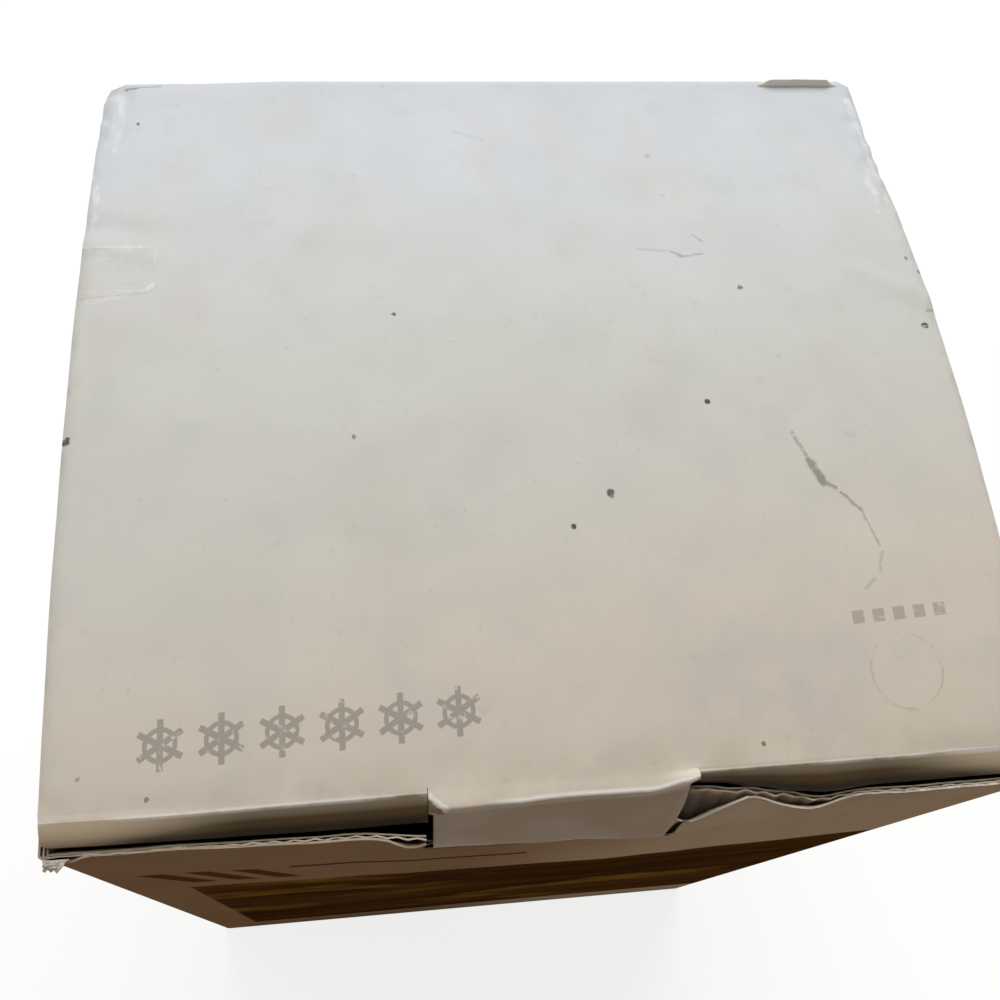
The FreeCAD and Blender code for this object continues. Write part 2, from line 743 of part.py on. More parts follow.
def add_blade():
    """The blade: a strip ground to an edge, sloping up through the slot."""
    blade = doc.addObject("Part::Wedge", "blade")
    blade.Label = "blade"
    bind(blade, Xmin="0", Xmax="blade_length", X2min="0", X2max="blade_length")
    bind(blade, Ymin="0", Ymax="blade_width")
    bind(blade, Zmin="0", Zmax="edge_thick", Z2min="0", Z2max="blade_thick")
    blade.Placement.Rotation = FreeCAD.Rotation(FreeCAD.Vector(1, 0, 0), -1)
    bind(blade, Placement__Rotation__Angle="360 - blade_angle")
    bind(blade, Placement__Base__x="blade_inner_end", Placement__Base__y="-blade_lead")
    bind(blade, Placement__Base__z=f"{PLATE_BASE} + {EDGE_Z}")
    nodes.append(blade)


def add_shim():
    """The tapered shim between the plate's underside and the blade's tail, which sets its slope."""
    shim = new_body("blade_shim", PLATE_BASE)

    def under(place):
        """The height of the shim's sloping face at a distance behind the blade's slot."""
        return f"{EDGE_Z} + edge_thick + shim_gap - ({place} + blade_lead) * {UPPER_SLOPE}"

    front = f"({SLOT_BACK} + shim_front_gap)"
    back = f"({BLADE_BACK} - shim_gap)"
    corners = [(front, f"{under(front)}"), (back, f"{under(back)}"), (back, "0"), (front, "0")]
    middle = "blade_inner_end + blade_length / 2"
    pad(shim, outline(shim, "YZ_Plane", corners, middle), "blade_length", both_ways=True)


def add_adjuster():
    """The thumbscrew in the front of the head that sets the blade."""
    knob = new_body("blade_adjuster")
    axis_z = f"({FOOT_BASE} + {ADJUSTER_Z})"
    stem_end, grip_face = "(throat_radius - adjuster_reach)", f"({HEAD_RADIUS} + adjuster_stand_off)"
    stem = circle(knob, "XZ_Plane", "adjuster_stem_radius", y=axis_z, offset=stem_end)
    pad(knob, stem, f"{grip_face} + adjuster_knob_thick / 2 - {stem_end}")
    grip = circle(knob, "XZ_Plane", "adjuster_knob_radius", y=axis_z, offset=grip_face)
    pad(knob, grip, "adjuster_knob_thick")


add_blade_plate()
add_blade()
add_shim()
add_adjuster()

# --------------------------------------------------------- ice chamber and cover

CHAMBER_BASE = f"({FOOT_BASE} + {HEAD_TOP})"
COVER_UNDER = f"({CHAMBER_BASE} + chamber_height)"
COVER_RADIUS = f"({SOCKET_RADIUS} + cover_wall)"
BUSH_RADIUS = "(shaft_radius + running_gap + bush_wall)"
BUSH_TOP = "(cover_top + bush_collar_height + bush_rim_height)"
ARM_BASE = f"({BUSH_TOP} + thrust_gap + shoulder_height)"

chamber = new_body("ice_chamber", CHAMBER_BASE)
CHAMBER_WALL = box("chamber_radius - chamber_wall", "chamber_radius", "0", "chamber_height")
turned(chamber, CHAMBER_WALL)

cover = new_body("chamber_cover", COVER_UNDER)
turned(
    cover,
    [
        (f"{BUSH_RADIUS} + press_gap", "0"),
        (SOCKET_RADIUS, "0"),
        (SOCKET_RADIUS, "-cover_skirt"),
        (COVER_RADIUS, "-cover_skirt"),
        (COVER_RADIUS, "cover_top"),
        (f"{BUSH_RADIUS} + press_gap", "cover_top"),
    ],
)
GRIP_PLACE = f"{COVER_RADIUS} + grip_radius - grip_depth"
grip = circle(cover, "XY_Plane", "grip_radius", x=GRIP_PLACE, offset="cover_top")
grip_cut = pocket(cover, grip, "cover_top + cover_skirt")
doc.recompute()
repeat_round(cover, grip_cut, GRIP_COUNT)

bush = new_body("cover_bush", COVER_UNDER)
turned(
    bush,
    [
        ("shaft_radius + running_gap", "0"),
        (BUSH_RADIUS, "0"),
        (BUSH_RADIUS, "cover_top"),
        ("bush_collar_radius", "cover_top"),
        ("bush_collar_radius", "cover_top + bush_collar_height"),
        (f"{BUSH_RADIUS} + bush_rim", "cover_top + bush_collar_height"),
        (f"{BUSH_RADIUS} + bush_rim", BUSH_TOP),
        ("shaft_radius + running_gap", BUSH_TOP),
    ],
)

# ----------------------------------------------------------- crank and what turns

PRESSER_BASE = "(-presser_drop - presser_thick)"

shaft = new_body("drive_shaft", COVER_UNDER)
turned(
    shaft,
    [
        ("0", f"{PRESSER_BASE} + press_gap"),
        ("shaft_radius", f"{PRESSER_BASE} + press_gap"),
        ("shaft_radius", f"{BUSH_TOP} + thrust_gap"),
        ("shaft_radius + shaft_shoulder", f"{BUSH_TOP} + thrust_gap"),
        ("shaft_radius + shaft_shoulder", ARM_BASE),
        ("thread_radius", ARM_BASE),
        ("thread_radius", f"{ARM_BASE} + arm_thick + thread_height"),
        ("0", f"{ARM_BASE} + arm_thick + thread_height"),
    ],
)


def add_presser():
    """The disc that presses the ice, with spikes below and a hub on the shaft."""
    presser = new_body("presser_plate", COVER_UNDER)
    turned(
        presser,
        [
            ("0", f"{PRESSER_BASE} - presser_thick"),
            ("presser_radius", f"{PRESSER_BASE} - presser_thick"),
            ("presser_radius", PRESSER_BASE),
            ("presser_hub_radius", PRESSER_BASE),
            ("presser_hub_radius", f"{PRESSER_BASE} + presser_hub_height"),
            ("shaft_radius + press_gap", f"{PRESSER_BASE} + presser_hub_height"),
            ("shaft_radius + press_gap", PRESSER_BASE),
            ("0", PRESSER_BASE),
        ],
    )
    spike = body_cone(presser, "spike_circle", f"{PRESSER_BASE} - presser_thick")
    doc.recompute()
    repeat_round(presser, spike, SPIKE_COUNT)


def body_cone(body, place, root):
    """A spike that hangs point down from the height root, at the radius place."""
    spike = body.newObject("PartDesign::AdditiveCone", f"{body.Name}_spike")
    spike.AttachmentSupport = (
        next(item for item in body.Origin.OriginFeatures if item.Role == "XY_Plane"),
        [""],
    )
    spike.MapMode = "FlatFace"
    bind(spike, Radius1="spike_point", Radius2="spike_radius", Height="spike_height + press_gap")
    bind(spike, AttachmentOffset__Base__x=place, AttachmentOffset__Base__z=f"{root} - spike_height")
    return spike


def add_crank_arm():
    """The flat crank arm, with a hole for the shaft's thread and one for the knob's pin."""
    arm = new_body("crank_arm", f"{COVER_UNDER} + {ARM_BASE}")
    lean_sin = "((arm_hub_radius - arm_end_radius) / arm_length)"
    lean_cos = f"sqrt(1 - {lean_sin}^2)"
    hub_x, hub_y = f"arm_hub_radius * {lean_sin}", f"arm_hub_radius * {lean_cos}"
    end_x, end_y = f"(arm_length + arm_end_radius * {lean_sin})", f"arm_end_radius * {lean_cos}"
    corners = [
        (hub_x, f"-{hub_y}"),
        (end_x, f"-{end_y}", "arm_end_radius", 1),
        (end_x, end_y),
        (hub_x, hub_y),
    ]
    pad(arm, outline(arm, "XY_Plane", corners), "arm_thick")
    pad(arm, circle(arm, "XY_Plane", "arm_hub_radius"), "arm_thick")
    for radius, place in (("thread_radius", "0"), ("pin_radius", "arm_length")):
        hole = circle(arm, "XY_Plane", f"{radius} + press_gap", x=place, offset="arm_thick")
        pocket(arm, hole, "2 * arm_thick")


def add_nut():
    """The hexagon nut that holds the crank arm on the shaft."""
    nut = doc.addObject("Part::Cut", "crank_nut")
    nut.Label = "crank_nut"
    hexagon = doc.addObject("Part::Prism", "crank_nut_hexagon")
    hexagon.Polygon = 6
    bind(hexagon, Circumradius="nut_across / 2 / cos(30)", Height="nut_thick")
    bore = doc.addObject("Part::Cylinder", "crank_nut_bore")
    bind(bore, Radius="thread_radius + press_gap", Height="3 * nut_thick")
    bind(bore, Placement__Base__z="-nut_thick")
    nut.Base, nut.Tool = hexagon, bore
    bind(nut, Placement__Base__z=f"{COVER_UNDER} + {ARM_BASE} + arm_thick")
    nodes.append(nut)


add_presser()
add_crank_arm()
add_nut()

pin = new_body("knob_pin", f"{COVER_UNDER} + {ARM_BASE}")
bind(pin, Placement__Base__x="arm_length")
PIN_TOP = "(arm_thick + knob_height - knob_cap - thrust_gap)"
turned(
    pin,
    [
        ("0", "-pin_head_thick"),
        ("pin_head_radius", "-pin_head_thick"),
        ("pin_head_radius", "0"),
        ("pin_radius", "0"),
        ("pin_radius", PIN_TOP),
        ("0", PIN_TOP),
    ],
)

knob = new_body("crank_knob", f"{COVER_UNDER} + {ARM_BASE} + arm_thick + thrust_gap")
bind(knob, Placement__Base__x="arm_length")
turned(
    knob,
    [
        ("pin_radius + running_gap", "0"),
        ("knob_neck_radius", "0", "knob_curve", -1),
        ("knob_radius", "knob_shoulder"),
        ("knob_radius - knob_cap", "knob_height"),
        ("0", "knob_height"),
        ("0", "knob_height - knob_cap"),
        ("pin_radius + running_gap", "knob_height - knob_cap"),
    ],
)

# -------------------------------------------------------------------------- bowl

bowl = new_body("serving_bowl", f"{FOOT_BASE} + foot_thick + bowl_gap")
turned(
    bowl,
    [
        ("0", "0"),
        ("bowl_foot_radius", "0", "bowl_curve", 1),
        ("bowl_radius", "bowl_height"),
        ("bowl_radius - bowl_wall", "bowl_height", "bowl_curve - bowl_wall", -1),
        ("bowl_foot_radius - bowl_wall / 2", "bowl_wall"),
        ("0", "bowl_wall"),
    ],
)

# ------------------------------------------------------------------ test and save

doc.recompute()
for item in doc.Objects:
    if "Invalid" in item.State or "Error" in item.State:
        raise RuntimeError(f"{item.Label} failed: {item.State}")
for node in nodes:
    if node.Shape.isNull() or not node.Shape.isValid() or not node.Shape.Solids:
        raise RuntimeError(f"{node.Label} has no valid solid")

os.makedirs("parts", exist_ok=True)
for node in nodes:
    node.Shape.exportStep(f"parts/{node.Label}.step")
    size = node.Shape.BoundBox
    print(
        f"{node.Label:22s} {len(node.Shape.Solids)} solids  x {size.XMin:.2f}..{size.XMax:.2f}"
        f"  y {size.YMin:.2f}..{size.YMax:.2f}  z {size.ZMin:.2f}..{size.ZMax:.2f}"
    )
print(len(nodes), "nodes")
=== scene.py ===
import math
import operator
from functools import partialmethod, reduce

import bmesh
import bpy
from mathutils import Matrix, Vector
from mathutils.noise import noise


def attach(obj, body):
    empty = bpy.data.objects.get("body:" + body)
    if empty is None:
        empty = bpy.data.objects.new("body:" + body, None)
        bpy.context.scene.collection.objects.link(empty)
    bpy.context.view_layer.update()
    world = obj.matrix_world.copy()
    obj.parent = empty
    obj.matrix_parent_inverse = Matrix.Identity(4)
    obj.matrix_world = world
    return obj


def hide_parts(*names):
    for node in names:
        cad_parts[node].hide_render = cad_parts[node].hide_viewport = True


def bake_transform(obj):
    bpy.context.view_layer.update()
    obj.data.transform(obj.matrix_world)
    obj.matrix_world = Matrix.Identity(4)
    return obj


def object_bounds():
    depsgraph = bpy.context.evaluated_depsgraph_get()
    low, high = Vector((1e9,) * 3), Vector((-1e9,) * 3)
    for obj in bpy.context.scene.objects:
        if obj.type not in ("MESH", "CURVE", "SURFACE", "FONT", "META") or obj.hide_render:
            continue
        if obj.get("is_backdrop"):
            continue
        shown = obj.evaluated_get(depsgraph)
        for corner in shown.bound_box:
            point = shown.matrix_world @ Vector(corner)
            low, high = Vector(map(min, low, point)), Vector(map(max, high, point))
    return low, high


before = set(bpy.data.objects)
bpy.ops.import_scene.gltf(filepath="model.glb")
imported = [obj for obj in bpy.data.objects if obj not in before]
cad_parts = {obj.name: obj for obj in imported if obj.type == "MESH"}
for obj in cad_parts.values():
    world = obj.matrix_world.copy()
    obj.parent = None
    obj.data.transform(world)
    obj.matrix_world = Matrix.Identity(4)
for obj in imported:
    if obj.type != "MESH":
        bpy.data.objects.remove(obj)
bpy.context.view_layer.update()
scene = bpy.context.scene
scene.view_settings.view_transform = "Standard"

# ------------------------------------------------------------------ room and camera
# The carton stands on a pale table near a window. The window is behind it and high,
# so the lid is bright and a little cool, and the printed front is in soft shade.

MM = 0.001


class Socket:
    """An output of a shader node. Sums on it add the Math nodes that work them out."""

    def __init__(self, finish, link):
        self.finish, self.link = finish, link

    def math(self, operation, *others):
        """Adds the Math node that works something out from this and from others."""
        return self.finish.node("Math", {"operation": operation}, dict(enumerate((self, *others))))

    __add__ = __radd__ = partialmethod(math, "ADD")
    __sub__ = partialmethod(math, "SUBTRACT")
    __mul__ = __rmul__ = partialmethod(math, "MULTIPLY")
    __truediv__ = partialmethod(math, "DIVIDE")
    __abs__ = partialmethod(math, "ABSOLUTE")
    __or__ = partialmethod(math, "MAXIMUM")
    __and__ = partialmethod(math, "MINIMUM")

    def __rsub__(self, other):
        return self * -1 + other

    def fade(self, low, high):
        """0 up to low and 1 from high, or 1 up to high and 0 from low where high is the smaller."""
        sockets = {"Value": self, "From Min": low, "From Max": high}
        return self.finish.node("MapRange", {"interpolation_type": "SMOOTHSTEP"}, sockets)

    def past(self, low, high):
        """The same between two places in millimetres."""
        return self.fade(low * MM, high * MM)

    def in_cell(self):
        """How far a value is from the middle of its cell, where the cells are 1 long."""
        return self - self.math("FLOOR") - 0.5


class Finish:
    """The nodes of one material or of the world."""

    def __init__(self, owner):
        owner.use_nodes = True
        self.owner, self.tree = owner, owner.node_tree
        self.place = None

    def node(self, kind, settings=None, sockets=None, output=0):
        """Adds a node, sets it, fills its sockets with values or links, and gives an output."""
        made = self.tree.nodes.new("ShaderNode" + kind)
        for name, setting in (settings or {}).items():
            setattr(made, name, setting)
        self.fill(made, sockets or {})
        return Socket(self, made.outputs[output])

    def vector(self, operation, first, second, output=0):
        """Adds the Vector Math node that works something out from two places."""
        sockets = {0: first, "Scale" if operation == "SCALE" else 1: second}
        return self.node("VectorMath", {"operation": operation}, sockets, output)

    def mark(self, name):
        """What is marked on the mesh under a name."""
        return self.node("Attribute", {"attribute_name": name}, None, 2)

    def fill(self, node, sockets):
        """Fills sockets of a node, by name or number, with values or links."""
        for name, content in sockets.items():
            socket = node.inputs[name]
            if isinstance(content, Socket):
                self.tree.links.new(content.link, socket)
            elif isinstance(content, tuple) and len(content) == 3 and socket.type == "RGBA":
                socket.default_value = (*content, 1)
            else:
                socket.default_value = content

    def seen(self):
        """1 where a camera, a mirror or a clear piece looks, 0 where light is gathered."""
        ray = self.tree.nodes.new("ShaderNodeLightPath").outputs
        camera, glossy, clear = (
            Socket(self, ray[f"Is {kind} Ray"]) for kind in ("Camera", "Glossy", "Transmission")
        )
        return camera | glossy | clear


WHITE = (1, 1, 1)
ROOM_LIGHT = 0.15
world = bpy.data.worlds.new("room")
scene.world = world
room = Finish(world)
plain = room.node("Background", None, {"Color": (1.0, 0.84, 0.66), "Strength": ROOM_LIGHT})
bright = room.node("Background", None, {"Color": WHITE, "Strength": 1})
mixed = room.node("MixShader", None, {0: room.seen(), 1: plain, 2: bright})
room.tree.links.new(mixed.link, room.tree.nodes["World Output"].inputs["Surface"])

FLOOR_DROP = 0.2 * MM
bpy.ops.object.select_all(action="DESELECT")
bpy.ops.mesh.primitive_plane_add(size=8, location=(0, 0, -FLOOR_DROP))
floor = bpy.context.object
floor.name = "floor"
bpy.ops.object.transform_apply(location=True)
table_top = Finish(bpy.data.materials.new("table_top"))
wood_bounce = table_top.node("BsdfDiffuse", None, {"Color": (0.40, 0.265, 0.155)})
glow = table_top.node("Emission", None, {"Color": WHITE, "Strength": 0.82})
pale = table_top.node("BsdfDiffuse", None, {"Color": (0.24, 0.24, 0.24)})
lit = table_top.node("AddShader", None, {0: glow, 1: pale})
shown = table_top.node("MixShader", None, {0: table_top.seen(), 1: wood_bounce, 2: lit})
table_top.tree.links.new(shown.link, table_top.tree.nodes["Material Output"].inputs["Surface"])
floor.data.materials.append(table_top.owner)
floor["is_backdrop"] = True

LID_MIDDLE = Vector((0, 0, 0.27))


def lamp(name, direction, distance, size, power, colour):
    """A soft rectangular lamp that faces the middle of the lid."""
    data = bpy.data.lights.new(name, "AREA")
    data.shape, data.size, data.size_y = "RECTANGLE", *size
    data.energy, data.color = power, colour
    made = bpy.data.objects.new(name, data)
    scene.collection.objects.link(made)
    towards = Vector(direction).normalized()
    made.location = LID_MIDDLE + towards * distance
    made.rotation_euler = towards.to_track_quat("Z", "Y").to_euler()


lamp("window", (0.15, 0.85, 0.72), 2.2, (2.2, 1.1), 42, (0.94, 0.97, 1.0))
lamp("ceiling", (-0.2, 0.25, 1.0), 2.0, (1.4, 1.4), 14.5, (1.0, 0.97, 0.92))

LENS, LENS_PLACE = 39.62, (-0.0357, -0.10287, 0.46394)
camera_data = bpy.data.cameras.new("camera")
camera_data.lens, camera_data.sensor_width = LENS, 36
camera_data.shift_x, camera_data.shift_y = 0.0158, -0.098
camera_data.clip_start, camera_data.clip_end = 0.01, 50
camera = bpy.data.objects.new("camera", camera_data)
scene.collection.objects.link(camera)
scene.camera = camera
right = Vector((0.9919, -0.0855, 0.0939)).normalized()
forward = Vector((0.1227, 0.4567, -0.8811)).normalized()
right = (right - forward * right.dot(forward)).normalized()
turn = Matrix((right, right.cross(forward), -forward)).transposed()
camera.matrix_world = Matrix.Translation(LENS_PLACE) @ turn.to_4x4()

# ------------------------------------------------------------------- outer liner
# The outer ply of the carton's wall: one white-lined paper that runs round all four
# corners and is creased there. Its front is printed. It is cut off at the front's
# upper edge, where it has come away from the fluting in places and curls.

WIDTH, DEPTH = 0.176, 0.162
SIDE_TOP, FRONT_TOP, BACK_TOP = 0.2663, 0.266, 0.2682
BOARD, FACE_PLY, BACK_PLY = 1.6 * MM, 0.35 * MM, 0.25 * MM
WALL_CORNER = 1.8 * MM
# a place that is within this of the outside belongs to that wall
WALL_REACH = 2.2 * MM
# the rows of the wall are level up to here, the front bows from here, and is crushed from here
LEVEL_TOP, BOW_FOOT, CRUSH_FOOT = 0.2595, 0.1, 0.2612
SLIT_LOW, SLIT_HIGH = 0.2511, 0.2525
SLIT_ENDS = (-0.025, 0.0212)
WALL_ROWS = (0, 0.4, 2, 20, 60, 100, 140, 180, 205, 222, 234, 242, 247, 251.1, 252.5, 255, 257.5,
             259.5, 261.2, 262.6, 263.7, 264.6, 265.3, 266)


def take(piece):
    """Makes a piece the one that the next steps work on."""
    bpy.ops.object.select_all(action="DESELECT")
    piece.select_set(True)
    bpy.context.view_layer.objects.active = piece


def open_edit(piece):
    """Opens a piece in edit mode with nothing of it selected."""
    take(piece)
    bpy.ops.object.mode_set(mode="EDIT")
    bpy.ops.mesh.select_all(action="DESELECT")


def pick(piece, kind, test):
    """Selects the vertices, edges or faces of the open piece whose middles pass the test."""
    bpy.ops.mesh.select_mode(type=kind)
    bpy.ops.mesh.select_all(action="DESELECT")
    mesh = bmesh.from_edit_mesh(piece.data)
    if kind == "VERT":
        for vertex in mesh.verts:
            vertex.select_set(test(vertex.co))
    else:
        for item in mesh.edges if kind == "EDGE" else mesh.faces:
            middle = sum((vertex.co for vertex in item.verts), Vector()) / len(item.verts)
            item.select_set(test(middle))
    mesh.select_flush_mode()
    bmesh.update_edit_mesh(piece.data)


def shape(piece, move):
    """Moves each vertex of a piece to where the function says."""
    for vertex in piece.data.vertices:
        vertex.co = move(vertex.co.copy())
    piece.data.update()


def modify(piece, kind, **settings):
    """Adds a modifier and applies it."""
    modifier = piece.modifiers.new(kind.lower(), kind)
    for name, setting in settings.items():
        setattr(modifier, name, setting)
    take(piece)
    bpy.ops.object.modifier_apply(modifier=modifier.name)


def smooth(piece, angle=35):
    """Smooth shading, with edges kept where faces turn by more than the angle."""
    take(piece)
    bpy.ops.object.shade_smooth_by_angle(angle=math.radians(angle))


def face_out(piece, towards):
    """Turns the faces of an open sheet so that they look the way the function says."""
    votes = sum(face.normal.dot(towards(face.center)) * face.area for face in piece.data.polygons)
    if votes < 0:
        piece.data.flip_normals()


def thicken(piece, thickness, rim=True, left=None):
    """Gives a sheet its thickness inwards, marks its depth from 0 outside to 1 inside, and
    gives its cut rim the second material. A creased board has only a share of it left."""
    count = len(piece.data.vertices)
    settings = {"material_offset_rim": 1 if rim else 0, "use_even_offset": left is None}
    if left is not None:
        shares = piece.vertex_groups.new(name="left")
        for vertex in piece.data.vertices:
            shares.add([vertex.index], left(vertex.co), "REPLACE")
        settings["vertex_group"] = "left"
    modify(piece, "SOLIDIFY", thickness=thickness, offset=-1, **settings)
    piece.vertex_groups.clear()
    depth = piece.data.attributes.new("depth", "FLOAT", "POINT")
    for number, item in enumerate(depth.data):
        item.value = 0 if number < count else 1


def ease(piece, width, where=lambda place: True):
    """Rounds the sharp edges of a piece a little, where their middles pass the test."""
    mesh = bmesh.new()
    mesh.from_mesh(piece.data)
    weights = mesh.edges.layers.float.new("bevel_weight_edge")
    for edge in mesh.edges:
        middle = (edge.verts[0].co + edge.verts[1].co) / 2
        if len(edge.link_faces) == 2 and edge.calc_face_angle() > 0.8 and where(middle):
            edge[weights] = 1
    mesh.to_mesh(piece.data)
    mesh.free()
    modify(piece, "BEVEL", width=width, segments=2, limit_method="WEIGHT")


def grid(name, columns, rows, size=(1, 1), middle=(0, 0, 0)):
    """A flat sheet of so many columns and rows."""
    bpy.ops.object.select_all(action="DESELECT")
    bpy.ops.mesh.primitive_grid_add(x_subdivisions=columns, y_subdivisions=rows, size=1)
    piece = bpy.context.object
    piece.name = piece.data.name = name
    piece.scale, piece.location = (*size, 1), middle
    bpy.ops.object.transform_apply(location=True, scale=True)
    return piece


def wall_ply(name, inset, cuts):
    """A ply of the wall: a ring at an inset from the outside, whose front, back and sides are
    cut so many times, drawn up through its rows."""
    bpy.ops.object.select_all(action="DESELECT")
    bpy.ops.mesh.primitive_plane_add(size=1)
    piece = bpy.context.object
    piece.name = piece.data.name = name
    piece.scale = (WIDTH - 2 * inset, DEPTH - 2 * inset, 1)
    bpy.ops.object.transform_apply(scale=True)
    open_edit(piece)
    bpy.ops.mesh.select_mode(type="VERT")
    bpy.ops.mesh.select_all(action="SELECT")
    bpy.ops.mesh.bevel(affect="VERTICES", offset=WALL_CORNER - inset, segments=4)
    bpy.ops.mesh.delete(type="ONLY_FACE")
    half_width, half_depth = WIDTH / 2 - inset, DEPTH / 2 - inset
    sides = (
        lambda place: place.y < -half_depth + 0.01 * MM,
        lambda place: place.y > half_depth - 0.01 * MM,
        lambda place: abs(place.x) > half_width - 0.01 * MM,
    )
    for side, number in zip(sides, cuts):
        pick(piece, "EDGE", side)
        bpy.ops.mesh.subdivide(number_cuts=number)
    bpy.ops.mesh.select_all(action="SELECT")
    for low, high in zip(WALL_ROWS, WALL_ROWS[1:]):
        step = {"value": (0, 0, (high - low) * MM)}
        bpy.ops.mesh.extrude_edges_move(TRANSFORM_OT_translate=step)
    bpy.ops.object.mode_set(mode="OBJECT")
    face_out(piece, lambda place: Vector((place.x, place.y, 0)))
    return piece


def at_front(place):
    """Whether a place is in the front wall."""
    return place.y < -DEPTH / 2 + WALL_REACH


def wall_height(place):
    """Lifts the upper rows to the top of the wall that they are in."""
    at_back = place.y > DEPTH / 2 - WALL_REACH
    top = FRONT_TOP if at_front(place) else BACK_TOP if at_back else SIDE_TOP
    start = LEVEL_TOP
    if place.z > start:
        place.z = start + (place.z - start) * (top - start) / (FRONT_TOP - start)
        # the rear left corner is crushed
        crushed = max(0, 1 - math.hypot(place.x + WIDTH / 2, place.y - DEPTH / 2) / (9 * MM))
        place.z -= 4 * crushed * (place.z - start) / (top - start) * MM
    return place


def move_columns(vertices, ends):
    """Moves the column of vertices that is nearest to each end onto it."""
    for end in ends:
        nearest = min(abs(vertex.co.x - end) for vertex in vertices)
        for vertex in vertices:
            if abs(abs(vertex.co.x - end) - nearest) < 0.001 * MM:
                vertex.co.x = end


def cut_slit(piece):
    """Cuts the tongue's slit through the front of a ply, and the tear at its left end."""
    move_columns([vertex for vertex in piece.data.vertices if at_front(vertex.co)], SLIT_ENDS)
    open_edit(piece)
    for top, left, right in ((SLIT_HIGH, 0, SLIT_ENDS[1] - SLIT_ENDS[0]), (1, 0.6 * MM, 1.6 * MM)):
        pick(
            piece, "FACE",
            lambda place: at_front(place) and SLIT_LOW < place.z < top
            and left < place.x - SLIT_ENDS[0] < right,
        )
        bpy.ops.mesh.delete(type="FACE")
    bpy.ops.object.mode_set(mode="OBJECT")


def clamp(value):
    """Keeps a share between 0 and 1."""
    return max(0, min(1, value))


def bump(x, middle, width):
    """A smooth hill of height 1 at the middle, gone at a width to each side."""
    share = min(1, abs(x - middle) / width)
    return (1 + math.cos(math.pi * share)) / 2


def follow(line, x):
    """The height at x of a smooth line through points that are given from left to right."""
    for (left, low), (right, high) in zip(line, line[1:]):
        if x <= right:
            share = max(0, (x - left) / (right - left))
            return low + (high - low) * share * share * (3 - 2 * share)
    return line[-1][1]


# how far the front leans in, in millimetres, along its edge and along the slit: the tongue
# has torn it at its left end and pushed the part above the slit in
EDGE_LINE = ((-88, -0.2), (-61, -0.6), (-40, -0.9), (-23.95, -2.3), (-23.6, 2.5), (23, 2.4),
             (31, 1.5), (38, 0.2), (45, -1.0), (54, -0.3), (88, -0.3))
SLIT_LINE = ((-60, 0), (-24, -0.1), (22, -1.4), (50, 0))
PRESSED = ((-23.95, 0), (-23.6, 2.6), (18, 2.6), (22.6, 0))
# how far the panel below the slit has bowed out to the tongue's tip
BOW_LINE = ((-78, 0), (-40, -1.1), (-24, -1.9), (0, -2.3), (19, -2.9), (32, -2.3), (50, -1.4),
            (88, 0))
BEHIND = ((-23.9, 0), (-21, 1), (18, 1), (21.2, 0))


def front_lean(x, z):
    """How far the front leans in at a place on it, all in millimetres."""
    above = clamp((z - 251.8) / 14.2)
    below = clamp((z - 100) / 151.8) ** 1.5
    bow = follow(BOW_LINE, x)
    if above > 0:
        bow += (follow(SLIT_LINE, x) - bow) * follow(BEHIND, x)
    lean = follow(EDGE_LINE, x) * above + bow * (below if above == 0 else 1 - above)
    return lean + (0.12 * math.sin(x / 6.1) + 0.07 * math.sin(x / 2.7 + 1)) * above


def ragged(x, seed, height):
    """The uneven cut of a torn or crushed edge, downwards."""
    rough = noise((x * 600, seed, 0)) + 0.7 * noise((x * 1900, seed, 5))
    return -height * max(0, 0.4 + rough) * MM


def settle_front(place):
    """Bows the front's upper part, and presses its plies together along the cut edge."""
    x = place.x / MM
    top = clamp((place.z - CRUSH_FOOT) / (4.5 * MM)) ** 2
    crush = 0.5 - 0.3 * bump(x, 34, 20) + 0.12 * noise((x / 7, 2, 0))
    crush += 0.4 * clamp((-46 - x) / 24)
    depth = place.y + DEPTH / 2
    place.y = depth * (1 - 0.7 * crush * top) - DEPTH / 2 + 0.25 * crush * top * MM
    place.y += front_lean(x, place.z / MM) * MM
    place.z -= (0.6 * bump(x, 47, 12) + follow(PRESSED, x)) * top * MM
    return place


def outer_move(place):
    """The face liner's shape: torn away beside the slit, and peeling along the cut edge."""
    place = wall_height(place)
    if not at_front(place) or place.z < BOW_FOOT:
        return place
    x = place.x / MM
    torn = 7.4 * max(0, 1 - max(0, x - 23.5) / 9) ** 1.6 * follow(((16, 0), (19, 1)), x)
    torn += 1.7 * bump(x, 42, 12) + 1.2 * bump(x, -27, 4.5)
    peel = 1.3 * bump(x, 25, 11) + 0.9 * bump(x, 41, 9) + 0.9 * bump(x, -28, 5)
    peel += 0.7 * bump(x, -84, 5)
    base = 0.2655 - (torn + 3.5) * MM
    top = clamp((place.z - base) / (FRONT_TOP - base))
    place.z -= torn * top * MM
    place.z += ragged(place.x, 1, 0.45) * top**3 - 1.3 * bump(x, -84, 4) * top**3 * MM
    place = settle_front(place)
    place.y -= peel * top**2 * MM
    return place


outer_liner = wall_ply("outer_liner", 0, (351, 87, 79))
cut_slit(outer_liner)
shape(outer_liner, outer_move)
thicken(outer_liner, FACE_PLY)
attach(outer_liner, "carton")
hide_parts("front_liner", "back_panel", "left_panel", "right_panel")


def surface(name):
    """A new material with its Principled shader, and where a point is on the object."""
    finish = Finish(bpy.data.materials.new(name))
    finish.shader = finish.tree.nodes["Principled BSDF"]
    finish.place = finish.node("TexCoord", None, None, "Object")
    parts = finish.tree.nodes.new("ShaderNodeSeparateXYZ")
    finish.fill(parts, {0: finish.place})
    finish.x, finish.y, finish.z = (Socket(finish, parts.outputs[axis]) for axis in "XYZ")
    return finish


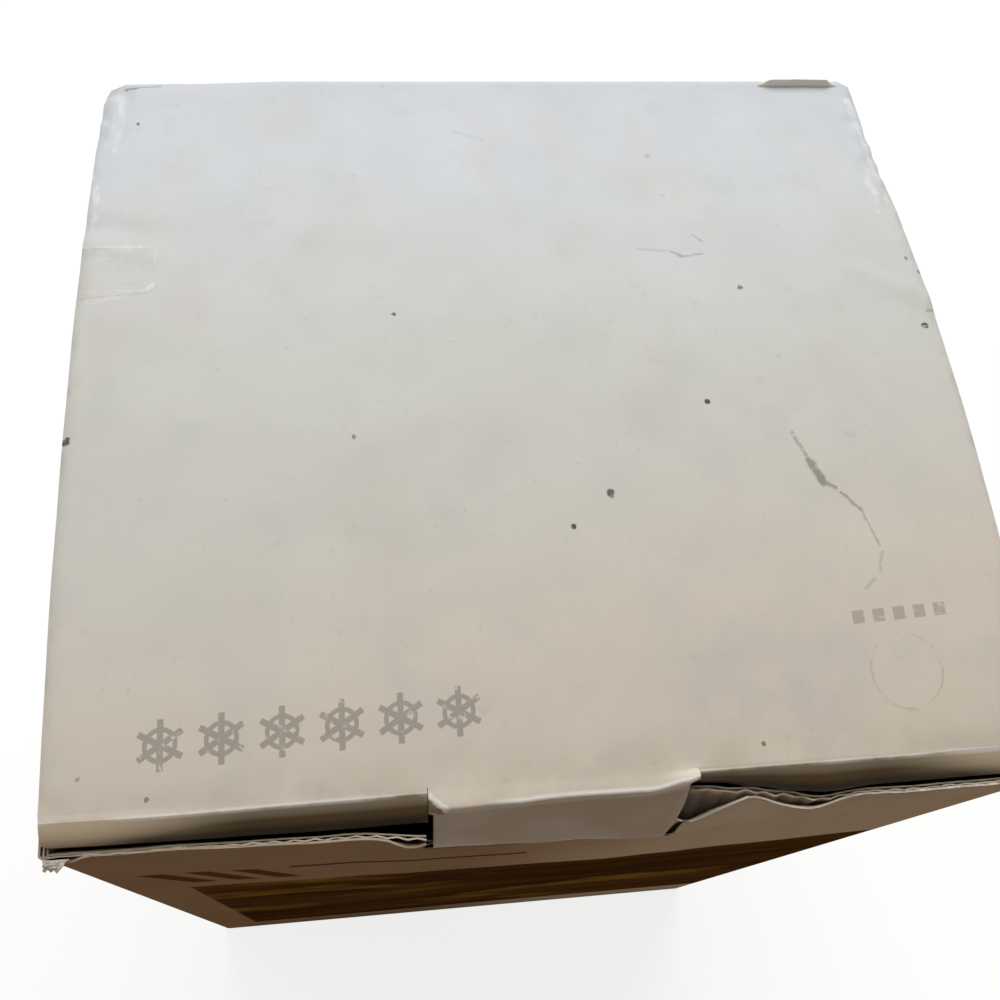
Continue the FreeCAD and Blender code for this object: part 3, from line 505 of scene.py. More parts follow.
def grain(finish, size, detail=3, stretch=(1, 1, 1), roughness=0.55):
    """Noise between 0 and 1 whose spots are about so many millimetres across."""
    scale = tuple(1000 / size / share for share in stretch)
    scaled = finish.vector("MULTIPLY", finish.place, scale)
    sockets = {"Vector": scaled, "Scale": 1, "Detail": detail, "Roughness": roughness}
    return finish.node("TexNoise", None, sockets)


def tint(finish, share, under, over):
    """The colour under, covered with the colour over where the share is 1."""
    return finish.node("Mix", {"data_type": "RGBA"}, {0: share, 6: under, 7: over}, 2)


def coat(finish, share, over):
    """Covers a finish's colour so far with another one where the share is 1."""
    finish.colour = tint(finish, share, finish.colour, over)


def skin(finish, colour, roughness, height, distance, strength=1.0, more=None):
    """Fills the shader. The height, from 0 to 1, is a relief worth so many millimetres."""
    sockets = {"Height": height, "Distance": distance * MM, "Strength": strength}
    sockets = {"Roughness": roughness, "Normal": finish.node("Bump", None, sockets)}
    finish.fill(finish.shader, {"Base Color": colour} | sockets | (more or {}))


def paint(piece, *finishes):
    """Gives a piece its materials."""
    for finish in finishes:
        piece.data.materials.append(finish.owner)


def inside(finish, x_ends, y_ends, soft, across="x", up="y"):
    """1 in a rectangle, in millimetres, with its edges softened over a width."""
    share = None
    for axis, (low, high) in ((across, x_ends), (up, y_ends)):
        value = getattr(finish, axis)
        edge = value.past(low - soft, low + soft)
        edge = edge * value.past(high + soft, high - soft)
        share = edge if share is None else share * edge
    return share


# White-lined board under a satin varnish, greyed and yellowed with age and handling.
PAPER_WHITE = (0.62, 0.60, 0.55)
PAPER_WARM = (0.60, 0.54, 0.45)
GRIME = (0.24, 0.19, 0.13)


def aged_paper(finish, white=PAPER_WHITE, warm=PAPER_WARM):
    """The colour of the aged liner: broad stains, faint tints and specks of bran."""
    colour = tint(finish, grain(finish, 55, 4).fade(0.35, 0.75), white, warm)
    green = tuple(channel * share for channel, share in zip(white, (0.96, 0.99, 0.95)))
    colour = tint(finish, grain(finish, 22, 2, (1.3, 1, 1)).fade(0.5, 0.7) * 0.5, colour, green)
    return tint(finish, grain(finish, 1.6, 2).fade(0.70, 0.78) * 0.22, colour, GRIME)


def varnished(finish, colour, gloss=0.5, shine=0.2):
    """Fills the shader of a varnished paper with its grain and orange peel."""
    height = grain(finish, 0.5, 2) * 0.35 + grain(finish, 3.2, 2) * 0.65
    rough = grain(finish, 14, 3).fade(0.3, 0.7) * 0.12 + gloss
    skin(finish, colour, rough, height, 0.05, 0.6, {"Specular IOR Level": shine})


GREY_LINER = ((0.43, 0.37, 0.28), (0.35, 0.29, 0.21))


def lined(finish, colour):
    """The colour outside, and the grey liner's on the board's inner face."""
    liner = tint(finish, grain(finish, 30, 4).fade(0.3, 0.75), *GREY_LINER)
    return tint(finish, finish.mark("depth").fade(0.4, 0.6), colour, liner)


PRINT_BROWN, PRINT_DEEP = (0.17, 0.09, 0.036), (0.08, 0.041, 0.016)
PRINT_AMBER, PRINT_RED, PRINT_INK = (0.62, 0.42, 0.10), (0.19, 0.055, 0.04), (0.10, 0.055, 0.045)

face = surface("printed_liner")
# painted shade: the front is given a darker, browner paper for the shade it stands in
face.colour = aged_paper(face, (0.52, 0.41, 0.32), (0.48, 0.355, 0.255))
# painted light: the front is paler towards its right, where more light falls
coat(face, face.x.past(-20, 34) * 0.92, (0.92, 0.86, 0.78))
# the front's painted shade fades out along the sides towards the back, which keeps the plain aged
# paper
face.colour = tint(face, face.y.past(-78, -30), face.colour, aged_paper(face))
# the picture: a soft, dark, brown still ground with amber streaks of light
on_front = face.y.past(-79.9, -80.6)
ground = tint(face, grain(face, 26, 2, (5, 1, 1)).fade(0.36, 0.64), PRINT_DEEP, PRINT_BROWN)
ground = tint(face, face.z.past(170, 188) * 0.6, ground, PRINT_BROWN)
streak = grain(face, 24, 3, (2.4, 1, 1.3)).fade(0.52, 0.72)
ground = tint(face, streak * 0.6, ground, PRINT_AMBER)
coat(face, inside(face, (-74, 92), (28, 192), 0.4, "x", "z") * on_front, ground)
# a plain mark over the picture: three slanting bars and a thin rule
slant = face.x + face.z * 0.35
for middle in (-0.6, 8.4, 17.4):
    bar = slant.past(middle - 0.3, middle + 0.3) * slant.past(middle + 5.3, middle + 4.7)
    bar = bar * inside(face, (-90, 90), (203, 226), 0.4, "x", "z") * on_front
    coat(face, bar * 0.9, PRINT_RED)
coat(face, inside(face, (-50, -3), (226, 229.5), 0.3, "x", "z") * on_front * 0.85, PRINT_INK)
# its worn upper edge, dirt, and a painted shadow in the gap along the tongue's right side
worn_top = face.z.past(264.2, 265.9) * grain(face, 2.2, 3).fade(0.35, 0.6)
coat(face, worn_top * 0.8, (0.48, 0.42, 0.34))
coat(face, grain(face, 16, 4).fade(0.5, 0.85) * 0.35 * face.z.fade(0.2, 0.262), GRIME)
# painted shadow: a dark line on the panel just right of the tongue's edge
gap = abs(face.x - 20.4 * MM - (face.z - 252 * MM) * 0.24).past(0.8, 0.35)
gap = gap * inside(face, (17, 24), (251, 258.5), 0.5, "x", "z") * on_front
coat(face, gap, (0.03, 0.022, 0.014))
varnished(face, face.colour, gloss=0.6, shine=0.0)

raw = surface("torn_paper")
fibre = grain(raw, 0.9, 4, (1, 1, 4))
raw_colour = tint(raw, fibre.fade(0.3, 0.7), (0.60, 0.53, 0.43), (0.42, 0.34, 0.25))
skin(raw, raw_colour, 0.9, fibre, 0.15, 0.8)
paint(outer_liner, face, raw)
smooth(outer_liner)

# ------------------------------------------------------------------ torn corner
# At the left front corner the liner has torn open, and a flake of its pale inside
# hangs off the edge.

torn_corner = grid("torn_corner", 14, 20)


def flake_move(place):
    """The flake's shape: narrowing and curling out as it hangs down."""
    along, down = place.x + 0.5, 0.5 - place.y
    rough = noise((along * 4, down * 5, 2))
    x = -87.3 + along * (4.2 - 1.8 * down) + 0.8 * rough * down
    out = 0.2 + (1.5 + 0.8 * noise((along * 6, 4, 0))) * down + 0.2 * rough * down
    z = 265.6 - 0.7 * down - 0.9 * down**3 + 0.3 * rough * down
    return Vector((x, -81 - out, z)) * MM


shape(torn_corner, flake_move)
face_out(torn_corner, lambda place: Vector((0, -1, 0.3)))
modify(torn_corner, "SOLIDIFY", thickness=0.1 * MM, offset=0)
flake = surface("torn_flake")
fibre = grain(flake, 0.9, 4)
colour = tint(flake, fibre.fade(0.35, 0.65), (0.94, 0.90, 0.86), (0.80, 0.73, 0.66))
skin(flake, colour, 0.9, fibre, 0.15)
paint(torn_corner, flake)
smooth(torn_corner, 50)
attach(torn_corner, "carton")

# -------------------------------------------------------------- fluting of the wall
# The wavy middle ply of grey-brown recycled paper, its flutes upright. It is glued to
# the liners at its crests and shows at the cut edges, crushed and frayed along the front.

FLUTE_PITCH = WIDTH / 52
FLUTE_SWING = 0.36 * MM
FLUTE_PAPER = 0.28 * MM


def share_crushed(place):
    """How far up the crushed edge a place is, from 0 to 1."""
    return max(0, (place.z - CRUSH_FOOT) / (FRONT_TOP - CRUSH_FOOT))


def fluting_move(place):
    """The fluting's shape: its waves, and a crushed and frayed edge at the front."""
    place = wall_height(place)
    near_corner = abs(place.x) > WIDTH / 2 - 3 * MM and abs(place.y) > DEPTH / 2 - 3 * MM
    front, rise = at_front(place), share_crushed(place)
    if not near_corner:
        along, across = ("x", "y") if abs(place.y) > DEPTH / 2 - 2.4 * MM else ("y", "x")
        swing = FLUTE_SWING * math.sin(2 * math.pi * getattr(place, along) / FLUTE_PITCH)
        if front:
            swing *= 1 - 0.25 * min(1, rise) ** 2
        setattr(place, across, getattr(place, across) + swing)
    if front and place.z > BOW_FOOT:
        crush = noise((place.x * 420, 3, 0)) * 0.22 + noise((place.x * 1500, 7, 0)) * 0.12
        place.y += crush * rise**2 * MM
        place.z += ragged(place.x, 9, 0.6) * rise**3
        place = settle_front(place)
    return place


wall_fluting = wall_ply("wall_fluting", FACE_PLY + 0.5 * MM, (414, 207, 190))
cut_slit(wall_fluting)
shape(wall_fluting, fluting_move)
modify(wall_fluting, "SOLIDIFY", thickness=FLUTE_PAPER, offset=0)
recycled = surface("recycled_fluting")
fibre = grain(recycled, 0.8, 4, (1, 1, 3))
recycled.colour = tint(recycled, fibre.fade(0.3, 0.7), (0.42, 0.34, 0.24), (0.27, 0.205, 0.135))
coat(recycled, grain(recycled, 9, 3).fade(0.5, 0.8), (0.20, 0.15, 0.10))
shadow = inside(recycled, (14, 29), (240, 264), 3, "x", "z") * recycled.y.past(-72, -74)
coat(recycled, shadow * 0.85, (0.035, 0.024, 0.014))
frayed = recycled.z.past(264.6, 265.6) * grain(recycled, 1.6, 3).fade(0.3, 0.5)
coat(recycled, frayed * 0.8, (0.64, 0.57, 0.47))
skin(recycled, recycled.colour, 0.92, fibre, 0.12, 0.7)
paint(wall_fluting, recycled)
smooth(wall_fluting, 50)
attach(wall_fluting, "carton")
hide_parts("front_fluting")

# ---------------------------------------------------------------- inner liner
# The inner ply of the wall, of uncoated grey-brown recycled paper. It faces the packing
# and shows when the lid is open.


def inner_move(place):
    """The inner liner's shape: plain, and ragged at the front."""
    place = wall_height(place)
    if at_front(place) and place.z > BOW_FOOT:
        place.z += ragged(place.x, 17, 0.4) * share_crushed(place) ** 3
        place = settle_front(place)
    return place


inner_liner = wall_ply("inner_liner", BOARD - BACK_PLY, (175, 87, 79))
cut_slit(inner_liner)
shape(inner_liner, inner_move)
thicken(inner_liner, BACK_PLY, rim=False)


def washboard(across, pitch, swing=0.5, middle=0.5):
    """The wave of the flutes, between 0 and 1."""
    return (across * (2 * math.pi / pitch)).math("SINE") * swing + middle


grey = surface("grey_liner")
fibre = grain(grey, 1.1, 4, (1, 1, 2.5))
grey.colour = tint(grey, grain(grey, 38, 4).fade(0.3, 0.75), *GREY_LINER)
coat(grey, fibre.fade(0.35, 0.75) * 0.5, (0.27, 0.22, 0.16))
ridges = washboard(grey.x + grey.y, FLUTE_PITCH)
skin(grey, grey.colour, 0.88, ridges * 0.5 + fibre * 0.4, 0.12, 0.5)
paint(inner_liner, grey)
smooth(inner_liner)
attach(inner_liner, "carton")
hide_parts("front_backing")

# ------------------------------------------------------------------ lid and tongue
# The lid and its lock tongue are one white-lined board, arched by what is packed under
# it. The tongue was cut out of the rolled front edge. It goes over the front panel's
# edge in a worn fold and down its outside. Handling has crushed two corners.

LID_HALF = 87.5 * MM
HINGE = Vector((0, 0.081, 0.270))
LID_FRONT = -0.075
LID_RISE = 7.5 * MM
LID_TOP = 0.27745
LID_CHORD = HINGE.y - LID_FRONT
LID_RADIUS = (LID_CHORD**2 / 4 + LID_RISE**2) / (2 * LID_RISE)
LID_CENTRE = Vector((0, (HINGE.y + LID_FRONT) / 2, HINGE.z + LID_RISE - LID_RADIUS))
LID_SLOPE = math.asin(LID_CHORD / 2 / LID_RADIUS)
TONGUE_ENDS = (-24.5 * MM, 22.5 * MM)
TONGUE_RUN, TONGUE_BEND, TONGUE_LENGTH = 3.06 * MM, 0.8 * MM, 15.4 * MM
TONGUE_LEAN = math.radians(17.5)
# how far its fold and its tip stand off a straight line, in millimetres from left to right
FOLD_LINE = ((-24.5, -0.3), (-11, 0), (0, 0.25), (14, 0.15), (20.5, 1.1), (22.5, 1.6))
TIP_LINE = ((-24.5, 0.3), (0, -0.3), (20, -0.95))


def edge_row(name, half_width, columns, place):
    """A row of edges across the carton, open in edit mode and selected."""
    piece = grid(name, columns, 1, (2 * half_width, 1), (0, place.y + 0.5, place.z))
    open_edit(piece)
    pick(piece, "VERT", lambda point: point.y > place.y + 0.5)
    bpy.ops.mesh.delete(type="VERT")
    bpy.ops.mesh.select_all(action="SELECT")
    return piece


def turn_row(angle, centre, steps):
    """Draws the selected row round an axis along X, towards the front and down."""
    bpy.ops.mesh.spin(steps=steps, angle=angle, center=centre, axis=(-1, 0, 0))


def draw_row(way, steps):
    """Draws the selected row on along a way, in equal steps."""
    for _ in range(steps):
        bpy.ops.mesh.extrude_edges_move(TRANSFORM_OT_translate={"value": way / steps})


def bend_row(place, slope, turn, radius, steps):
    """Bends the selected row, which is at a place and going down at a slope, further down
    by an angle, and says where it ends."""
    centre = place + Vector((0, math.sin(slope), -math.cos(slope))) * radius
    turn_row(turn, centre, steps)
    return centre - Vector((0, math.sin(slope + turn), -math.cos(slope + turn))) * radius


def mark_crack_and_glint(piece, wear):
    """Marks how far a sheet's print has cracked off, from 0 to 1, which also serves as a painted
    highlight along its fold.
    """
    crack_and_glint = piece.data.attributes.new("crack_and_glint", "FLOAT", "POINT")
    for item, vertex in zip(crack_and_glint.data, piece.data.vertices):
        item.value = wear(vertex.co / MM)


lid_top = edge_row("lid_top", LID_HALF, 175, HINGE)
turn_row(2 * LID_SLOPE, LID_CENTRE, 104)
pick(
    lid_top, "VERT",
    lambda point: point.y < LID_FRONT + 0.01 * MM
    and TONGUE_ENDS[0] - 0.01 * MM < point.x < TONGUE_ENDS[1] + 0.01 * MM,
)
down_slope = Vector((0, -math.cos(LID_SLOPE), -math.sin(LID_SLOPE)))
draw_row(down_slope * TONGUE_RUN, 5)
lid_edge = Vector((0, LID_FRONT, HINGE.z))
tongue_turn = math.pi / 2 - LID_SLOPE - TONGUE_LEAN
bend_row(lid_edge + down_slope * TONGUE_RUN, LID_SLOPE, tongue_turn, TONGUE_BEND, 7)
draw_row(Vector((0, -math.sin(TONGUE_LEAN), -math.cos(TONGUE_LEAN))) * TONGUE_LENGTH, 14)
bpy.ops.object.mode_set(mode="OBJECT")
face_out(lid_top, lambda place: Vector((0, min(0, place.y - LID_FRONT), 0.02)))


def fold_crack_and_glint(place):
    """How far the print has cracked off the tongue's fold, at a place in millimetres. It lies on
    the fold's upper side and widens at its right end, and is partly a painted highlight.
    """
    if place.y > -77.9 or place.z < 268:
        return 0
    if place.z < 269.1:
        return follow(((10, 0), (20, 1)), place.x)
    return follow(((-16, 0), (-9, 0.9), (6, 1)), place.x)


mark_crack_and_glint(lid_top, fold_crack_and_glint)


def lid_lift(x, y):
    """How far the worn lid stands above its smooth arch, in millimetres, at a place on it."""
    # soft waves of a board that has been damp and dried
    lift = 0.35 * noise((x / 46, y / 38, 1)) + 0.12 * noise((x / 15, y / 13, 4))
    lift += 0.04 * noise((x / 5, y / 5, 8))
    # the cut side edges are pressed down
    lift -= 0.45 * max(0, (abs(x) - 84.5) / 3) ** 2
    # crushed rear left corner, and the strip beside it
    left = max(0, 1 - math.hypot((x + 87.5) / 8, (y - 81) / 26))
    lift -= left**0.7 * (0.9 + 1.9 * noise((x / 2.1, y / 3.1, 12)))
    # glossy crumples along the rear right edge
    right_edge = max(0, (x - 80) / 7.5) * bump(y, 55, 27)
    lift -= right_edge * (0.7 + 1.5 * noise((x / 2.4, y / 4.6, 20)))
    # a ridge and a fold by the tape, and a fold across the right edge
    lift += 0.3 * bump(y + (x + 88) * 0.18, 32.5, 3) * max(0, 1 - (x + 88) / 24)
    lift -= 0.45 * bump(y + (x + 88) * 0.15, 38, 4) * max(0, 1 - (x + 88) / 20)
    lift += 0.4 * bump((y - 18) + (x - 82) * 0.5, 0, 5) * max(0, (x - 70) / 18)
    # dents pressed in from above
    for dent_x, dent_y, size, deep in ((28, 30, 9, 0.25), (-40, -30, 14, 0.15), (57, -30, 10, 0.2)):
        lift -= deep * max(0, 1 - math.hypot(x - dent_x, y - dent_y) / size) ** 2
    lift *= (1 - bump(y, 81, 3)) * (1 - bump(y, -75, 3))
    # the board has risen at the rear crease, more towards the right
    return lift + follow(REAR_RISE, x) * max(0, (y - 55) / 26) ** 2


REAR_RISE = ((-88, 0.6), (-70, 0.9), (-45, 1.8), (88, 2.3))


def lid_height(x, y):
    """The height of the worn lid at a place on it, in metres."""
    arch = math.sqrt(LID_RADIUS**2 - (y * MM - LID_CENTRE.y) ** 2) + LID_CENTRE.z
    return arch + lid_lift(x, y) * MM


def rounded_corner(x, y):
    """How far the worn rear corners are drawn in along x, in metres."""
    size = 4.5 if x < 0 else 2.8
    near = min(size, max(0, y - 81 + size))
    drawn = (size - math.sqrt(size**2 - near**2)) * clamp((abs(x) - 80) / 7.5)
    return math.copysign(drawn, -x) * MM


def lid_move(place):
    """The lid's and the tongue's worn shape."""
    x, y = place.x / MM, place.y / MM
    if y > LID_FRONT / MM - 0.001:
        place.z += lid_lift(x, y) * MM
        bow = 0.25 * noise((y / 26, x / abs(x) if x else 0, 30))
        place.x += math.copysign(bow * max(0, (abs(x) - 70) / 17.5) ** 2 * MM, x)
        place.x += rounded_corner(x, y)
        return place
    # the tongue narrows under its fold and at its right lower corner, and neither its fold
    # nor its tip is quite straight
    side = (place.x - sum(TONGUE_ENDS) / 2) / (TONGUE_ENDS[1] - TONGUE_ENDS[0]) * 2
    out = clamp((-75.2 - y) / 2.4)
    down = clamp((268.8 - place.z / MM) / 14.6)
    under = min(1, down * 20)
    place.y += (follow(FOLD_LINE, x) * (1 - down) + follow(TIP_LINE, x) * down) * out * MM
    uneven = 0.14 * noise((x / 7, 3, place.z * 150)) + 0.07 * noise((x / 2.4, 9, 0))
    place.y -= uneven * out * MM
    place.x -= max(0, side) ** 3 * (1.5 * under + 2.5 * down**3) * MM
    place.x += max(0, -side) ** 3 * (0.8 * under + 0.5 * down) * MM
    place.z += (0.25 + 0.2 * noise((x / 9, 40, 0)) + bump(x, 23, 9)) * out * (1 - down) * MM
    # its left upper corner is torn and pressed down
    torn = max(0, -0.662 * (x + 25) - 0.748 * (y + 75.6))
    place.z -= 0.8 * min(1.8, torn) * (1 - under) * MM
    return place


def crushed(place):
    """The share of a creased board's thickness that is left: half at a fold."""
    far = math.hypot(place.y / MM - follow(FOLD_LINE, place.x / MM) + 78.4, place.z / MM - 269.2)
    return 0.45 + 0.55 * clamp((far - 0.6) / 2.4) if place.y < LID_FRONT else 1


shape(lid_top, lid_move)
thicken(lid_top, BOARD, left=crushed)
ease(lid_top, 0.2 * MM, lambda place: abs(place.y - LID_FRONT) > 0.5 * MM)
shape(lid_top, lambda place: Vector((place.x, min(place.y, HINGE.y), min(place.z, LID_TOP))))


def uneven_plan(finish):
    """The plan of the lid for marks on it, a little uneven so that no mark is ruled."""
    wander = finish.node("TexNoise", None, {"Vector": finish.place, "Scale": 900, "Detail": 2}, 1)
    shift = finish.vector("SUBTRACT", wander, (0.5, 0.5, 0.5))
    shift = finish.vector("SCALE", shift, 0.9 * MM)
    return finish.vector("MULTIPLY", finish.vector("ADD", finish.place, shift), (1, 1, 0))


def spot(finish, plan, x, y, radius):
    """1 in a round spot with a soft rim, in millimetres."""
    far = finish.vector("DISTANCE", plan, (x * MM, y * MM, 0), 1)
    return far.past(radius * 1.35, radius * 0.8)


def largest(shares):
    """The largest of some shares at each point."""
    return reduce(operator.or_, shares)


def stroke(finish, plan, start, stop, width):
    """1 along a straight stroke with soft edges, in millimetres."""
    first = Vector((*start, 0)) * MM
    along = Vector((*stop, 0)) * MM - first
    gap = finish.vector("SUBTRACT", plan, tuple(first))
    share = finish.vector("DOT_PRODUCT", gap, tuple(along / along.length_squared), 1)
    near = finish.vector("SCALE", tuple(along), (share | 0.0) & 1.0)
    return finish.vector("DISTANCE", gap, near, 1).past(width * 0.75, width * 0.25)


LID_COOL, LID_MID, LID_WARM = (0.61, 0.645, 0.695), (0.635, 0.64, 0.605), (0.72, 0.645, 0.55)
PRINT_GREY = (0.375, 0.34, 0.295)


def printed_white(finish):
    """The lid's colour: cool at the rear as painted light from the window, yellowed at the front,
    with stains and specks.
    """
    warm = (finish.y + finish.x * -0.15).past(0, -80)
    # painted light: the rear is tinted cool, as lit by the window behind it
    colour = tint(finish, finish.y.past(-10, 75), LID_MID, LID_COOL)
    front_tone = finish.y.past(-66, -75) * grain(finish, 11, 3).fade(0.3, 0.7)
    for share, over in (
        (warm, LID_WARM),
        (grain(finish, 34, 4).fade(0.45, 0.75) * 0.4, (0.58, 0.57, 0.50)),
        (grain(finish, 17, 2, (1, 1.4, 1)).fade(0.52, 0.7) * 0.35, (0.62, 0.575, 0.56)),
        (grain(finish, 13, 2).fade(0.55, 0.72) * 0.3, (0.545, 0.575, 0.53)),
        (grain(finish, 2.4, 3).fade(0.62, 0.8) * 0.14, GRIME),
        (grain(finish, 1.1, 2, (2.6, 1, 1)).fade(0.73, 0.80) * 0.3, GRIME),
        (front_tone * 0.35, (0.50, 0.44, 0.34)),
    ):
        colour = tint(finish, share, colour, over)
    return colour


lid = surface("lid_liner")
lid.colour = printed_white(lid)
plan = uneven_plan(lid)
# a rubbed patch where a sticker was pulled off
patch = inside(lid, (23, 57), (-69, -52), 2.5) * grain(lid, 6, 4).fade(0.3, 0.6)
coat(lid, patch * 0.4, (0.60, 0.57, 0.555))
# plain grey print: a row of six-rayed crystals, with a row of small squares and a thin ring
SLANT, CRYSTAL_PITCH, SQUARE_PITCH = 0.045, 10.0, 4
CRYSTAL_ENDS, SQUARE_ENDS = (-73.5, -13.5), (54, 74)
RING_MIDDLE, RING_RADIUS = (0.0634, -0.0613, 0), 6.7 * MM
row_y = lid.y - lid.x * SLANT
cell = ((lid.x - CRYSTAL_ENDS[0] * MM) / (CRYSTAL_PITCH * MM)).in_cell() * (CRYSTAL_PITCH * MM)
height = row_y + 62.3 * MM
far = (cell * cell + height * height).math("SQRT")
left, right = CRYSTAL_ENDS
row = lid.x.past(left - 0.1, left + 0.1) * lid.x.past(right + 0.1, right - 0.1)
rays = largest(
    abs(cell * math.sin(angle) - height * math.cos(angle)).past(0.6, 0.45)
    for angle in map(math.radians, (30, 90, 150))
)
crystal = rays * far.past(4.25, 4.05)
hexagon_ring = far.past(2.0, 2.15) * far.past(2.95, 2.8)
ring_far = lid.vector("DISTANCE", plan, RING_MIDDLE, 1)
ring = abs(ring_far - RING_RADIUS).past(0.28, 0.1) * grain(lid, 4, 2).fade(0.36, 0.55) * 0.45
left, right = SQUARE_ENDS
square_x = abs(((lid.x - left * MM) / (SQUARE_PITCH * MM)).in_cell()).fade(0.30, 0.27)
square_y = abs(row_y + 53.9 * MM).past(1.25, 1.1)
squares = square_x * square_y * lid.x.past(left, left + 0.1) * lid.x.past(right + 0.1, right)
printed = (crystal | hexagon_ring) * row | ring | squares * 0.75
coat(lid, printed * grain(lid, 1.3, 3).fade(0.25, 0.42) * 0.92, PRINT_GREY)
# specks of dirt, a long scratch, smudges, and a painted shadow along the rear left edge
SPOTS = (
    (-26.1, 14.2, 0.42, 0.9), (46.45, 19.1, 0.5, 0.7), (34.4, -7.6, 0.6, 0.95),
    (12.6, -25.8, 0.75, 0.85), (4.9, -32, 0.55, 0.95), (84.4, 8.5, 0.65, 0.95),
    (-34.8, -12.6, 0.45, 0.6), (-79.4, 67.6, 0.42, 0.9), (-87, -11.3, 0.8, 0.9),
    (-70.5, -73.6, 0.4, 0.6), (-81.5, -69.9, 0.35, 0.4), (34.7, -72, 0.4, 0.7),
    (33.2, 56.7, 0.6, 0.25), (34.4, 44.6, 0.4, 0.2), (85.2, 25.9, 0.5, 0.5),
    (87.3, 22.3, 0.5, 0.5),
)
SCRATCHES_AND_SHADOW_LINE = (
    ((50.2, -14.8), (52.6, -21), 0.7, 0.35), ((52.6, -21), (54.4, -25.4), 1.6, 0.55),
    ((54.4, -25.4), (56.8, -26.6), 0.8, 0.45), ((57.6, -27.6), (61, -31.4), 0.55, 0.4),
    ((61, -31.4), (63, -38.3), 0.45, 0.28), ((63.2, -39.5), (62, -43), 0.6, 0.2),
    ((60.6, -44.6), (58.6, -46.2), 0.7, 0.18), ((26, 29.8), (33.6, 28.8), 0.6, 0.18),
    ((33.6, 28.8), (35.7, 27.4), 0.7, 0.35), ((35.7, 27.4), (40, 28.1), 0.45, 0.3),
    ((38.9, 33.1), (40.7, 31.4), 0.6, 0.25), ((-10, 65), (-4, 62.4), 1.0, 0.08),
    # a painted shadow: a dark line along the rear left edge, in the gap at the crushed corner
    ((-83, 79.6), (-80.3, 79.8), 0.6, 0.5), ((-80, 79.9), (-75.3, 80.1), 0.5, 0.3),
    ((85.9, 12.2), (87.4, 12.1), 0.7, 0.35),
)
# glossy crumples of the varnish, with painted highlights where they catch the light
CRUMPLE_HIGHLIGHTS = (
    ((-84.1, 77), (-82.6, 68), 1.4, 0.5), ((-82.6, 68), (-83.9, 59), 1.2, 0.4),
    ((-87, 52), (-85.6, 42), 1.4, 0.6), ((-85.6, 42), (-86.2, 37), 1.2, 0.5),
    ((85.8, 75), (86.2, 66), 2.0, 0.7), ((86.3, 66), (86.6, 57), 1.6, 0.8),
    ((86, 56), (86.4, 43), 1.4, 0.7), ((82.8, 49.8), (83.6, 44.8), 2.2, 0.5),
    ((83.1, 43), (82.8, 39), 1.2, 0.5), ((85.6, 24.6), (87.4, 25.2), 0.9, 0.8),
    ((-85, 18.6), (-78, 20.4), 1.6, 0.3), ((-84, 29.5), (-79, 31), 2.2, 0.4),
    ((-74.2, 21.6), (-73.4, 22.4), 0.9, 0.9),
)
# the dirt, and the painted shadow line at the rear left edge
dirt_and_shadow_marks = [spot(lid, plan, x, y, radius) * share for x, y, radius, share in SPOTS]
dirt_and_shadow_marks += [stroke(lid, plan, *ends, width) * share for *ends, width, share in SCRATCHES_AND_SHADOW_LINE]
coat(lid, largest(dirt_and_shadow_marks) * grain(lid, 1.0, 3).fade(0.18, 0.46), (0.035, 0.03, 0.024))
# painted highlights: near-white strokes along the crumples
shine = largest(stroke(lid, plan, *ends, width) * share for *ends, width, share in CRUMPLE_HIGHLIGHTS)
coat(lid, shine * grain(lid, 2.6, 4).fade(0.3, 0.7) * 0.8, (0.90, 0.92, 0.94))
# worn and fingered edges, and the white crack of the folds, partly a painted highlight
side_dirt = abs(lid.x).past(85.6, 87.4) * grain(lid, 5, 4).fade(0.45, 0.7)
coat(lid, side_dirt * 0.35, (0.40, 0.33, 0.25))
beyond = (lid.x + 25 * MM) * -0.662 + (lid.y + 75.6 * MM) * -0.748
torn = beyond.past(0.1, 0.5) * lid.x.past(-20.5, -21.5) * lid.z.past(266.6, 267.4)
coat(lid, torn * lid.y.past(-75.4, -75.8), (0.24, 0.175, 0.11))
sliver = stroke(lid, plan, (-24.9, -75.8), (-21.6, -78.7), 0.9)
# the fold's white crack, partly worn paper and partly a painted highlight where the fold faces the
# light
crack_and_glint = lid.mark("crack_and_glint") * grain(lid, 5, 4).fade(0.25, 0.45)
coat(lid, crack_and_glint * 0.95 | sliver * 0.9, (0.95, 0.93, 0.89))
# painted shade: the tongue's face below its fold is given a darker, browner tone, as the front's
# shade
tongue_face_shade = lid.z.past(268.6, 267.6) * lid.y.past(-77, -78)
coat(lid, tongue_face_shade * 0.95, (0.475, 0.375, 0.27))
varnished(lid, lined(lid, lid.colour), gloss=0.42, shine=0.22)


def cut_edge(name, across):
    """The cut rim of a board: two pale liners and the fluting's wave, with painted shade in the
    hollows between them.
    """
    finish = surface(name)
    depth, run = finish.mark("depth"), getattr(finish, across)
    crush = grain(finish, 2.6, 2) * 0.5 - 0.25
    wave = washboard(run, FLUTE_PITCH, 0.27, 0.52) + crush * 0.3
    paper = abs(depth - wave).fade(0.24, 0.12)
    liner = depth.fade(0.22, 0.16) | depth.fade(0.82, 0.87)
    # painted shade: near black in the flutes' hollows
    finish.colour = tint(finish, paper, (0.035, 0.026, 0.018), (0.36, 0.28, 0.19))
    coat(finish, liner, (0.50, 0.43, 0.34))
    coat(finish, grain(finish, 1.5, 3).fade(0.4, 0.7) * 0.4, (0.22, 0.165, 0.11))
    skin(finish, finish.colour, 0.9, paper | liner, 0.5, 0.8)
    return finish


cut_across_x = cut_edge("cut_edge_x", "x")
cut_across_y = cut_edge("cut_edge_y", "y")
paint(lid_top, lid, cut_across_x)
smooth(lid_top, 40)
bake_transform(lid_top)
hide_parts("lid_panel", "lock_tongue")

